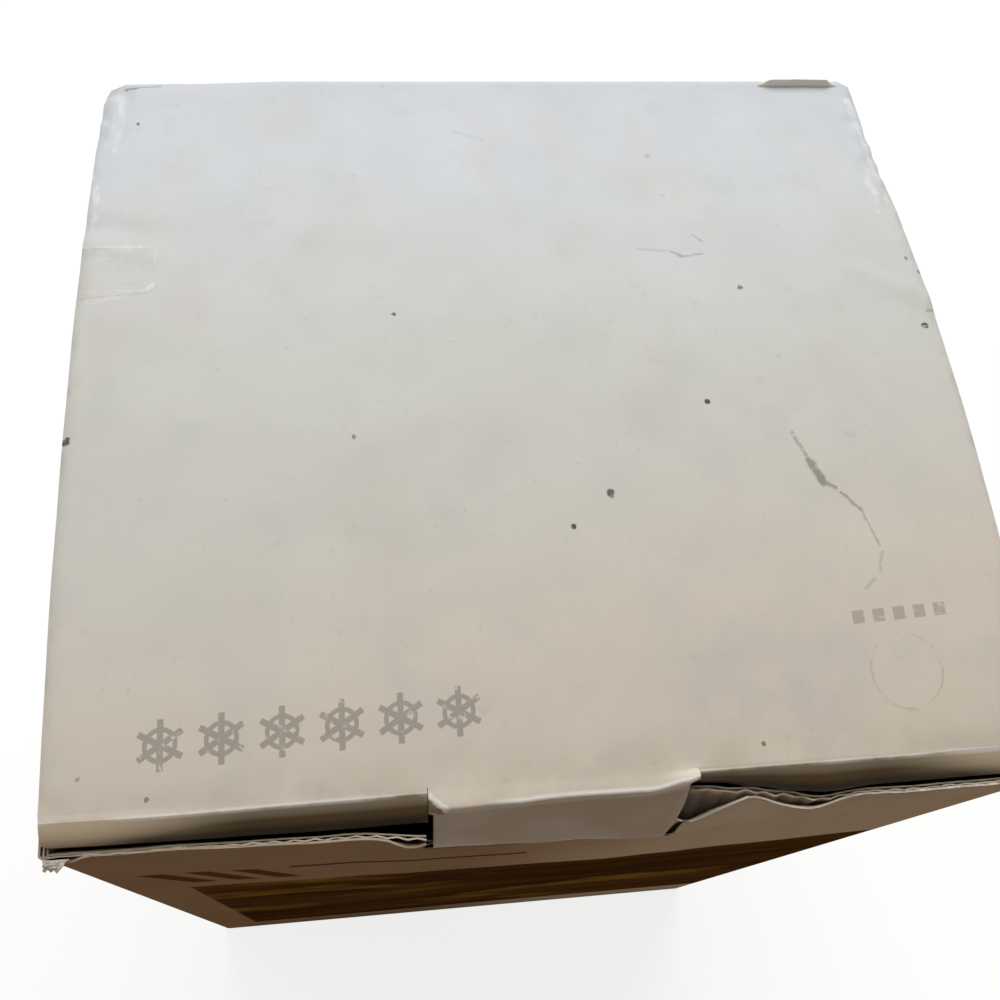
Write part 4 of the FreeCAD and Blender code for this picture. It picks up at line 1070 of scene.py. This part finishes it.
# ----------------------------------------------------------- rolled edge and tuck flap
# The lid's front edge, rolled over and tucked down behind the front panel. The tongue
# was cut out of its middle. Its foot has cut corners so that it finds its way in.

ROLL_HALF = 85.8 * MM
NOTCH_ENDS = (-24.6 * MM, 22.6 * MM)
CREASE_RUN, CREASE_BEND, CREASE_TURN = 0.75 * MM, 0.4 * MM, math.radians(26)
ROLL_RADIUS, TUCK_LEAN = 4.4 * MM, math.radians(12)
TUCK_LENGTH, NOTCH_DEPTH = 28 * MM, 18 * MM
# how far the crease stands off a straight line and how far the roll below it swells out, in
# millimetres from left to right: it gives way beside the tongue
CREASE_LINE = ((-87, -0.25), (-70, -0.45), (-37, -0.15), (-25, 0), (22, 0.2), (59, 0.2), (77, 0.5))
ROLL_LINE = ((-86, 1.8), (-75, 2.0), (-60, 2.2), (-40, 2.4), (-25, 2.3), (22, -0.8), (27, -0.4),
             (33, 0.7), (40, 1.9), (46, 2.5), (56, 1.9), (77, 1.8), (88, 1.6))

lid_roll = edge_row("lid_roll", ROLL_HALF, 143, lid_edge)
draw_row(down_slope * CREASE_RUN, 2)
shoulder = bend_row(lid_edge + down_slope * CREASE_RUN, LID_SLOPE, CREASE_TURN, CREASE_BEND, 4)
rest = math.pi / 2 - LID_SLOPE - CREASE_TURN + TUCK_LEAN
ROLL_END = bend_row(shoulder, LID_SLOPE + CREASE_TURN, rest, ROLL_RADIUS, 10)
draw_row(Vector((0, math.sin(TUCK_LEAN), -math.cos(TUCK_LEAN))) * TUCK_LENGTH, 28)
bpy.ops.object.mode_set(mode="OBJECT")
move_columns(lid_roll.data.vertices, NOTCH_ENDS)
open_edit(lid_roll)
pick(
    lid_roll, "FACE",
    lambda place: NOTCH_ENDS[0] < place.x < NOTCH_ENDS[1]
    and place.z > ROLL_END.z - NOTCH_DEPTH * math.cos(TUCK_LEAN) + 0.1 * MM,
)
bpy.ops.mesh.delete(type="FACE")
bpy.ops.object.mode_set(mode="OBJECT")
face_out(lid_roll, lambda place: Vector((0, -1, 0.2)))
mark_crack_and_glint(lid_roll, lambda place: 1 if place.y < -75.7 and place.z > 269.6 else 0)


def roll_move(place):
    """The roll's worn shape, and the waist of the tuck flap below it."""
    x = place.x / MM
    down = max(0, (ROLL_END.z - place.z) / TUCK_LENGTH)
    waist = clamp((down - 0.5) * 2)
    place.x *= 1 - 0.09 * waist**1.4
    # its ends have spread over the side walls
    over = clamp((place.z - 0.2664) / (0.8 * MM)) * max(0, (abs(x) - 76) / 9.8)
    place.x += math.copysign(1.65 * over * MM, x)
    # it bulges at the left and gives way beside the tongue
    under_crease = clamp((0.2696 - place.z) / (2.8 * MM))
    low = under_crease * clamp((place.z - 0.250) / (14 * MM))
    out = clamp((-75 - place.y / MM) / 0.7) * (1 - under_crease)
    place.y += (follow(CREASE_LINE, x) * out - follow(ROLL_LINE, x) * low) * MM
    place.y += 0.25 * noise((x / 14, place.z * 90, 6)) * min(1, 8 * down) * MM
    place.y += 0.5 * down * math.sin(x / 40) * MM
    return place


def roll_left(place):
    """The share of the board's thickness that is left: a quarter at the crease."""
    far = math.hypot(place.y + 0.0758, place.z - 0.2697) / MM
    return 0.25 + 0.75 * clamp((far - 0.3) / 2)


shape(lid_roll, roll_move)
thicken(lid_roll, BOARD, left=roll_left)
ease(lid_roll, 0.2 * MM, lambda place: place.z < 0.2695)
roll = surface("roll_liner")
roll.colour = aged_paper(roll, (0.66, 0.57, 0.44), (0.58, 0.48, 0.34))
# painted shade: the roll is darkened towards its foot and its middle, nearly to black at the foot
# of its middle, where it turns away from the light into the gap above the front wall
middle = roll.x.past(-86, -54) * roll.x.past(88, 56)
low = roll.z.past(269.7, 266.4)
coat(roll, (middle * 0.65 + low * (middle * 1.2 + 0.2)) & 1.0, (0.10, 0.066, 0.033))
coat(roll, low.fade(0.35, 0.9) * middle * 0.9, (0.014, 0.009, 0.004))
# painted light: the roll's ends are paler towards their top
coat(roll, (1 - middle) * low.fade(1.0, 0.3) * 0.7, (0.84, 0.72, 0.52))
coat(roll, roll.z.past(269.72, 269.86), printed_white(roll))
# the crease's white crack, partly worn paper and partly a painted highlight, and a painted
# highlight along the crease towards its right end
crease_crack_and_glint = roll.mark("crack_and_glint") * grain(roll, 9, 4).fade(0.35, 0.6)
bright = inside(roll, (62, 90), (-76.0, -74), 0.3) * roll.x.past(58, 74)
bright = bright * grain(roll, 14, 4).fade(0.25, 0.5)
coat(roll, crease_crack_and_glint * 0.75 | bright * 0.9, (0.94, 0.92, 0.88))
varnished(roll, lined(roll, roll.colour), shine=0.12)
paint(lid_roll, roll, cut_across_x)
smooth(lid_roll, 40)
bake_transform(lid_roll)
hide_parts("tuck_flap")

# ------------------------------------------------------------------- rear crease
# The crease where the lid bends off the back panel. It is the same board, crushed
# in the fold, and it has buckled up into a grey ridge near the right corner.

REAR_FOOT, REAR_RADIUS = 0.2674, 1.5 * MM
RIDGE_MIDDLE = 74.3
rear_crease = edge_row("rear_crease", LID_HALF, 175, Vector((0, HINGE.y, REAR_FOOT)))
draw_row(Vector((0, 0, HINGE.z - REAR_RADIUS - REAR_FOOT)), 2)
turn_row(math.pi / 2, Vector((0, HINGE.y - REAR_RADIUS, HINGE.z - REAR_RADIUS)), 7)
draw_row(Vector((0, -1.2 * MM, 0)), 2)
bpy.ops.object.mode_set(mode="OBJECT")
face_out(rear_crease, lambda place: Vector((0, 1, 1)))


def rear_move(place):
    """The crease's worn shape: risen with the lid, with the ridge near its right end."""
    x = place.x / MM
    high = clamp((place.z - 0.2680) / (2 * MM))
    ridge = clamp((10.3 - abs(x - RIDGE_MIDDLE)) / 3.2) * clamp((place.y - 0.0793) / (1.1 * MM))
    rise = follow(REAR_RISE, x)
    place.z += (rise + 2.7 * ridge + 0.1 * noise((x / 5, 2, 0))) * high * MM
    place.y -= 0.1 * (1 + noise((x / 6, 7, 0))) * high * MM
    if place.y < HINGE.y - 0.4 * MM and ridge == 0:
        place.z = min(place.z, lid_height(x, place.y / MM) - 0.4 * MM)
    place.x += rounded_corner(x, place.y / MM)
    place.z -= 0.5 * max(0, 1 - (x + 87.5) / 6) * high * MM
    return place


shape(rear_crease, rear_move)
thicken(
    rear_crease, 0.9 * BOARD,
    left=lambda place: 0.25 if place.z > 0.2705 and abs(place.x / MM - RIDGE_MIDDLE) < 11 else 1,
)
rear = surface("crease_liner")
rear.colour = aged_paper(rear, (0.58, 0.57, 0.53), (0.52, 0.47, 0.39))
# painted light: the ridge's upright face, which turns from the light, is painted near white as
# though lit
coat(rear, inside(rear, (62, 86), (272.6, 278), 0.4, "x", "z") * 0.9, (0.96, 0.95, 0.93))
coat(rear, grain(rear, 4, 4).fade(0.5, 0.7) * 0.5, (0.80, 0.78, 0.72))
varnished(rear, lined(rear, rear.colour))
paint(rear_crease, rear, cut_across_x)
smooth(rear_crease, 50)
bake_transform(rear_crease)

# -------------------------------------------------------------------- clear tape
# A bit of clear tape over the lid's left edge, left there when the carton was opened.
# It is a thin yellowed film, a little wrinkled, with air under parts of it.

# its ends and its sides along x and y, the middle and half of its breadth, and how round its
# corners are, in millimetres
TAPE_ENDS, TAPE_SIDES = (-87.5, -72.7), (20.6, 32)
TAPE_MIDDLE, TAPE_HALF, TAPE_ROUND = 26.3, 5.7, 2
tape = grid(
    "tape_film", 64, 52,
    ((TAPE_ENDS[1] - TAPE_ENDS[0]) * MM, (TAPE_SIDES[1] - TAPE_SIDES[0]) * MM),
    (sum(TAPE_ENDS) / 2 * MM, TAPE_MIDDLE * MM, 0),
)


def tape_move(place):
    """Lays the film on the worn lid, with its wrinkles and its two free corners worn round."""
    across = (place.x / MM - TAPE_ENDS[1]) / TAPE_ROUND + 1
    along = (abs(place.y / MM - TAPE_MIDDLE) - TAPE_HALF) / TAPE_ROUND + 1
    if across > 0 and along > 0:
        drawn = across * math.sqrt(1 - along**2 / 2) - 1
        place.x = (TAPE_ENDS[1] + TAPE_ROUND * drawn) * MM
        far = TAPE_HALF + TAPE_ROUND * (along * math.sqrt(1 - across**2 / 2) - 1)
        place.y = TAPE_MIDDLE * MM + math.copysign(far * MM, place.y - TAPE_MIDDLE * MM)
    place.y += 0.09 * (place.x + 73 * MM) * max(0, TAPE_MIDDLE - place.y / MM) / TAPE_HALF
    x, y = place.x / MM, place.y / MM
    wrinkle = max(0, noise((x / 2.2 + y / 6, y / 5, 3))) * 0.28 + 0.06 * noise((x, y, 9))
    place.z = min(lid_height(x, y) + (0.14 + wrinkle) * MM, LID_TOP - 0.05 * MM)
    return place


shape(tape, tape_move)
face_out(tape, lambda place: Vector((0, 0, 1)))
film = surface("yellowed_film")
haze = grain(film, 3, 3).fade(0.35, 0.7)
rim = inside(film, (-90, -73.3), (21, 31.4), 0.35)
haze_colour = tint(film, haze, (0.80, 0.78, 0.73), (0.90, 0.90, 0.88))
clearness = {"Alpha": (haze * 0.08 + 0.06) + (1 - rim) * 0.16}
skin(film, haze_colour, haze * 0.2 + 0.16, grain(film, 1.8, 2), 0.05, 0.5, clearness)
paint(tape, film)
smooth(tape, 60)
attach(tape, "lid")
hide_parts("clear_tape")

# -------------------------------------------------------------------- dust flaps
# The two flaps under the lid, cut from the side panels' board and bent in over a
# crease. Their faces are the liner's white, and their tips are cut to clear the lid.

DUST_TOP, DUST_LENGTH, DUST_CORNER = 0.2681, 60 * MM, 6 * MM
DUST_FRONT, DUST_REAR = -66 * MM, 78 * MM
DUST_BEND = 1.5 * MM


def dust_flap(name, side):
    """One dust flap with the crease that joins it to its side panel."""
    root, tip_x = WIDTH / 2 - DUST_BEND, WIDTH / 2 - DUST_LENGTH
    middle = (-(root + tip_x) / 2, (DUST_REAR + DUST_FRONT) / 2, DUST_TOP)
    piece = grid(name, 48, 96, (root - tip_x, DUST_REAR - DUST_FRONT), middle)
    open_edit(piece)
    pick(piece, "VERT", lambda place: place.x < -root + 0.01 * MM)
    bpy.ops.mesh.spin(
        steps=6, angle=math.pi / 2, center=(-root, 0, DUST_TOP - DUST_BEND), axis=(0, 1, 0)
    )
    draw_row(Vector((0, 0, -1 * MM)), 2)
    bpy.ops.object.mode_set(mode="OBJECT")

    def move(place):
        """The flap's shape: tapered, cut at its tip and a little warped."""
        reach = clamp((place.x + WIDTH / 2) / DUST_LENGTH)
        tip = max(0, place.x + WIDTH / 2 - DUST_LENGTH + DUST_CORNER)
        front = DUST_FRONT + 6 * MM * reach + tip
        rear = DUST_REAR - DUST_LENGTH * reach * math.tan(math.radians(30)) - tip * 0.8
        share = (place.y - DUST_FRONT) / (DUST_REAR - DUST_FRONT)
        place.y = front + (rear - front) * share
        wave = 0.25 * noise((place.x / MM / 20, place.y / MM / 26, 50 + side))
        place.z += (wave - 0.1) * reach * MM
        place.x *= -side
        return place

    shape(piece, move)
    face_out(piece, lambda place: Vector((side * 0.2, 0, 1)))
    thicken(piece, BOARD)
    ease(piece, 0.2 * MM)
    paint(piece, flap_face, cut_across_y)
    smooth(piece, 40)
    body = "dust_flap_left" if side < 0 else "dust_flap_right"
    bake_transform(piece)
    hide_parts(body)


flap_face = surface("flap_liner")
flap_face.colour = aged_paper(flap_face, (0.60, 0.57, 0.50), (0.54, 0.48, 0.38))
# paler along the fold at the flap's root
paler_fold = abs(flap_face.x).past(84.6, 86.6) * grain(flap_face, 4, 4).fade(0.35, 0.7)
coat(flap_face, paler_fold * 0.5, (0.80, 0.77, 0.70))
varnished(flap_face, lined(flap_face, flap_face.colour))
dust_flap("dust_flap_left_board", -1)
dust_flap("dust_flap_right_board", 1)

# ------------------------------------------------------------- bottom and glue flap
# The four flaps of the bottom, glued shut, and the flap that joins the back panel to
# the left one. They are the carton's own board and keep their cut shape.


def dress(finish, *names):
    """Gives pieces that are already right in shape a finish of their own."""
    for name in names:
        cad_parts[name].data.materials.clear()
        paint(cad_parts[name], finish)


def flat_board(name, colours, pitch, layers, run="x"):
    """Corrugated board lying flat: liners above and below, flutes with painted shade in their
    hollows at its cut edges, and the flutes' faint ridges on its faces."""
    finish = surface(name)
    upright = finish.tree.nodes.new("ShaderNodeSeparateXYZ")
    finish.fill(upright, {0: finish.node("TexCoord", None, None, "Normal")})
    flat = abs(Socket(finish, upright.outputs["Z"])).fade(0.4, 0.6)
    light, dark = colours
    fibre = grain(finish, 1.2, 4, (1, 2.5, 1))
    face_colour = tint(finish, grain(finish, 34, 4).fade(0.3, 0.75), light, dark)
    fibre_colour = tuple(0.6 * part for part in dark)
    face_colour = tint(finish, fibre.fade(0.35, 0.75) * 0.35, face_colour, fibre_colour)
    low, thick, count = layers
    level = (finish.z - low) / thick
    level = level - level.math("FLOOR").math("MINIMUM", count - 1.0)
    along = getattr(finish, run)
    wave = washboard(along, pitch, 0.3)
    ply = abs(level - wave).fade(0.2, 0.1) | level.fade(0.17, 0.12) | level.fade(0.83, 0.88)
    # painted shade: near black in the flutes' hollows at the cut edges
    cut = tint(finish, ply, (0.03, 0.022, 0.015), tuple(0.8 * part for part in dark))
    height = washboard(along, pitch) * 0.4 + fibre * 0.4
    skin(finish, tint(finish, flat, cut, face_colour), 0.85, height, 0.1, 0.5)
    return finish


bottom_board = flat_board(
    "bottom_board", ((0.55, 0.51, 0.43), (0.46, 0.40, 0.31)), FLUTE_PITCH, (0.0, BOARD, 2)
)
dress(
    bottom_board,
    "bottom_flap_front", "bottom_flap_back", "bottom_flap_left", "bottom_flap_right",
)
dress(grey, "glue_flap")

# ------------------------------------------------------------------------ packing
# A pad and a die-cut collar of plain brown corrugated board. They hold the stand
# square in the carton, and the collar has a round hole for its head.

KRAFT = ((0.42, 0.29, 0.17), (0.35, 0.235, 0.13))
KRAFT_PITCH, KRAFT_THICK = 6.5 * MM, 3 * MM
PAD_FOOT, COLLAR_FOOT = 3.2 * MM, 120.2 * MM
pad_board = flat_board("pad_board", KRAFT, KRAFT_PITCH, (PAD_FOOT, KRAFT_THICK, 1), "y")
dress(pad_board, "bottom_pad")
collar_board = flat_board("collar_board", KRAFT, KRAFT_PITCH, (COLLAR_FOOT, KRAFT_THICK, 1), "y")
dress(collar_board, "packing_collar")

# ------------------------------------------------------------------- shaver's stand
# One injection moulding in cool grey ABS: foot, rear column, and a head with a ledge
# and a socket. Its edges are eased by the mould, and its skin is finely textured.

EASED_ANGLE = 30


def softened(name, width, slot, finish, body="carton"):
    """A moulded or turned piece with its edges eased by a width, in place of its sharp one."""
    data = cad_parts[name].data.copy()
    piece = bpy.data.objects.new(f"{name}_soft", data)
    data.name = piece.name
    scene.collection.objects.link(piece)
    data.materials.clear()
    open_edit(piece)
    bpy.ops.mesh.select_all(action="SELECT")
    bpy.ops.mesh.remove_doubles(threshold=0.002 * MM)
    bpy.ops.mesh.normals_make_consistent(inside=False)
    bpy.ops.mesh.dissolve_limited(angle_limit=math.radians(0.4))
    bpy.ops.object.mode_set(mode="OBJECT")
    modify(
        piece, "BEVEL", width=width * MM, segments=3, limit_method="ANGLE",
        angle_limit=math.radians(EASED_ANGLE), use_clamp_overlap=True,
    )
    smooth(piece, EASED_ANGLE)
    modify(piece, "WEIGHTED_NORMAL", mode="FACE_AREA", weight=90, keep_sharp=True)
    paint(piece, finish)
    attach(piece, body)
    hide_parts(name)


def moulded(name, colour, gloss, texture=0.02, wear=0.08):
    """Moulded plastic: a fine skin, faint flow marks and a little handling grime."""
    finish = surface(name)
    flow = grain(finish, 26, 3, (1, 1, 2)).fade(0.35, 0.7) * 0.5
    finish.colour = tint(finish, flow, colour, tuple(0.94 * part for part in colour))
    coat(finish, grain(finish, 3, 4).fade(0.6, 0.8) * wear, GRIME)
    rough = grain(finish, 9, 3).fade(0.3, 0.7) * 0.08 + gloss
    skin(finish, finish.colour, rough, grain(finish, 0.35, 2), texture, 0.5)
    return finish


softened("stand", 0.6, "stand_plastic", moulded("stand_skin", (0.68, 0.70, 0.70), 0.32))

# ------------------------------------------------------------------ rubber feet
# Four soft black feet of moulded rubber, pushed up under the stand's foot. They keep
# the shaver from sliding while its crank is turned.

black_rubber = moulded("black_rubber", (0.035, 0.035, 0.036), 0.7, 0.05, 0.12)
softened("rubber_feet", 0.4, "rubber", black_rubber)

# ------------------------------------------------------ blade plate, blade and shim
# The plate, blade and shim are stainless sheet, blanked and brushed in one
# direction. The blade's edge is ground. Three pan-head screws hold the plate.


def brushed(name, colour, across, scratch=0.16):
    """Steel with fine grinding lines that run along one axis."""
    finish = surface(name)
    stretch = {"x": (1, 40, 40), "y": (40, 1, 40), "z": (40, 40, 1)}[across]
    lines = grain(finish, 12, 2, tuple(1 / share for share in stretch))
    smear = grain(finish, 15, 3).fade(0.35, 0.75)
    smeared = tint(finish, smear * 0.3, colour, tuple(0.8 * part for part in colour))
    rough = lines * scratch + 0.2 + smear * 0.06
    skin(finish, smeared, rough, lines, 0.02, 0.35, {"Metallic": 1})
    return finish


plate_steel = brushed("plate_steel", (0.60, 0.60, 0.59), "x")
for name, width in (("blade_plate", 0.15), ("blade_shim", 0.05), ("blade", 0.03)):
    softened(name, width, "steel", plate_steel)
screw_steel = brushed("screw_steel", (0.58, 0.57, 0.55), "z", 0.1)
softened("blade_plate_screws", 0.15, "steel", screw_steel)

# ----------------------------------------------------------------- blade adjuster
# A thumbscrew of moulded blue plastic that goes through the head. Turned by hand, it
# lifts the blade for coarser ice.

blue_skin = moulded("blue_skin", (0.10, 0.27, 0.45), 0.26, 0.015, 0.1)
softened("blade_adjuster", 0.4, "cover_plastic", blue_skin, "adjuster")

# ------------------------------------------------------------- ice chamber and bowl
# Both are clear moulded styrene. The chamber stands in the head's socket, and the bowl
# stands on the foot under the throat.

clear_styrene = surface("clear_styrene")
scuff = grain(clear_styrene, 2.2, 4, (1, 1, 3)).fade(0.58, 0.75)
skin(
    clear_styrene, (0.93, 0.97, 0.98), scuff * 0.22 + 0.04, grain(clear_styrene, 12, 2), 0.06, 0.4,
    {"Transmission Weight": 1, "IOR": 1.49},
)
softened("ice_chamber", 0.5, "clear_plastic", clear_styrene)
softened("serving_bowl", 0.5, "clear_plastic", clear_styrene)

# --------------------------------------------------------------- cover and its bush
# The blue cover grips the chamber's rim. A waxy white acetal bush, turned and pressed
# into it, carries the shaft.

softened("chamber_cover", 0.5, "cover_plastic", blue_skin)
acetal = moulded("acetal", (0.74, 0.73, 0.69), 0.42, 0.02, 0.05)
softened("cover_bush", 0.4, "bush_plastic", acetal)

# ------------------------------------------------- shaft, presser, crank and its knob
# A turned steel shaft carries a spiked presser of grey plastic below the cover, and
# above it a plated crank arm under a nut. The blue knob spins on a steel pin.

turned_steel = brushed("turned_steel", (0.60, 0.59, 0.57), "z", 0.12)
presser_skin = moulded("presser_skin", (0.66, 0.68, 0.68), 0.34)
chrome = surface("chrome_plate")
smear = grain(chrome, 8, 4).fade(0.4, 0.75)
smeared = tint(chrome, smear * 0.3, (0.56, 0.57, 0.58), (0.42, 0.41, 0.39))
skin(chrome, smeared, smear * 0.14 + 0.07, grain(chrome, 6, 2), 0.03, 0.3, {"Metallic": 1})
for name, width, slot, finish in (
    ("drive_shaft", 0.25, "steel", turned_steel),
    ("presser_plate", 0.3, "stand_plastic", presser_skin),
    ("crank_arm", 0.5, "chrome", chrome),
    ("crank_nut", 0.3, "chrome", chrome),
    ("knob_pin", 0.2, "steel", turned_steel),
):
    softened(name, width, slot, finish, "crank")
softened("crank_knob", 0.4, "knob_plastic", blue_skin, "crank_knob")

low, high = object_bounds()
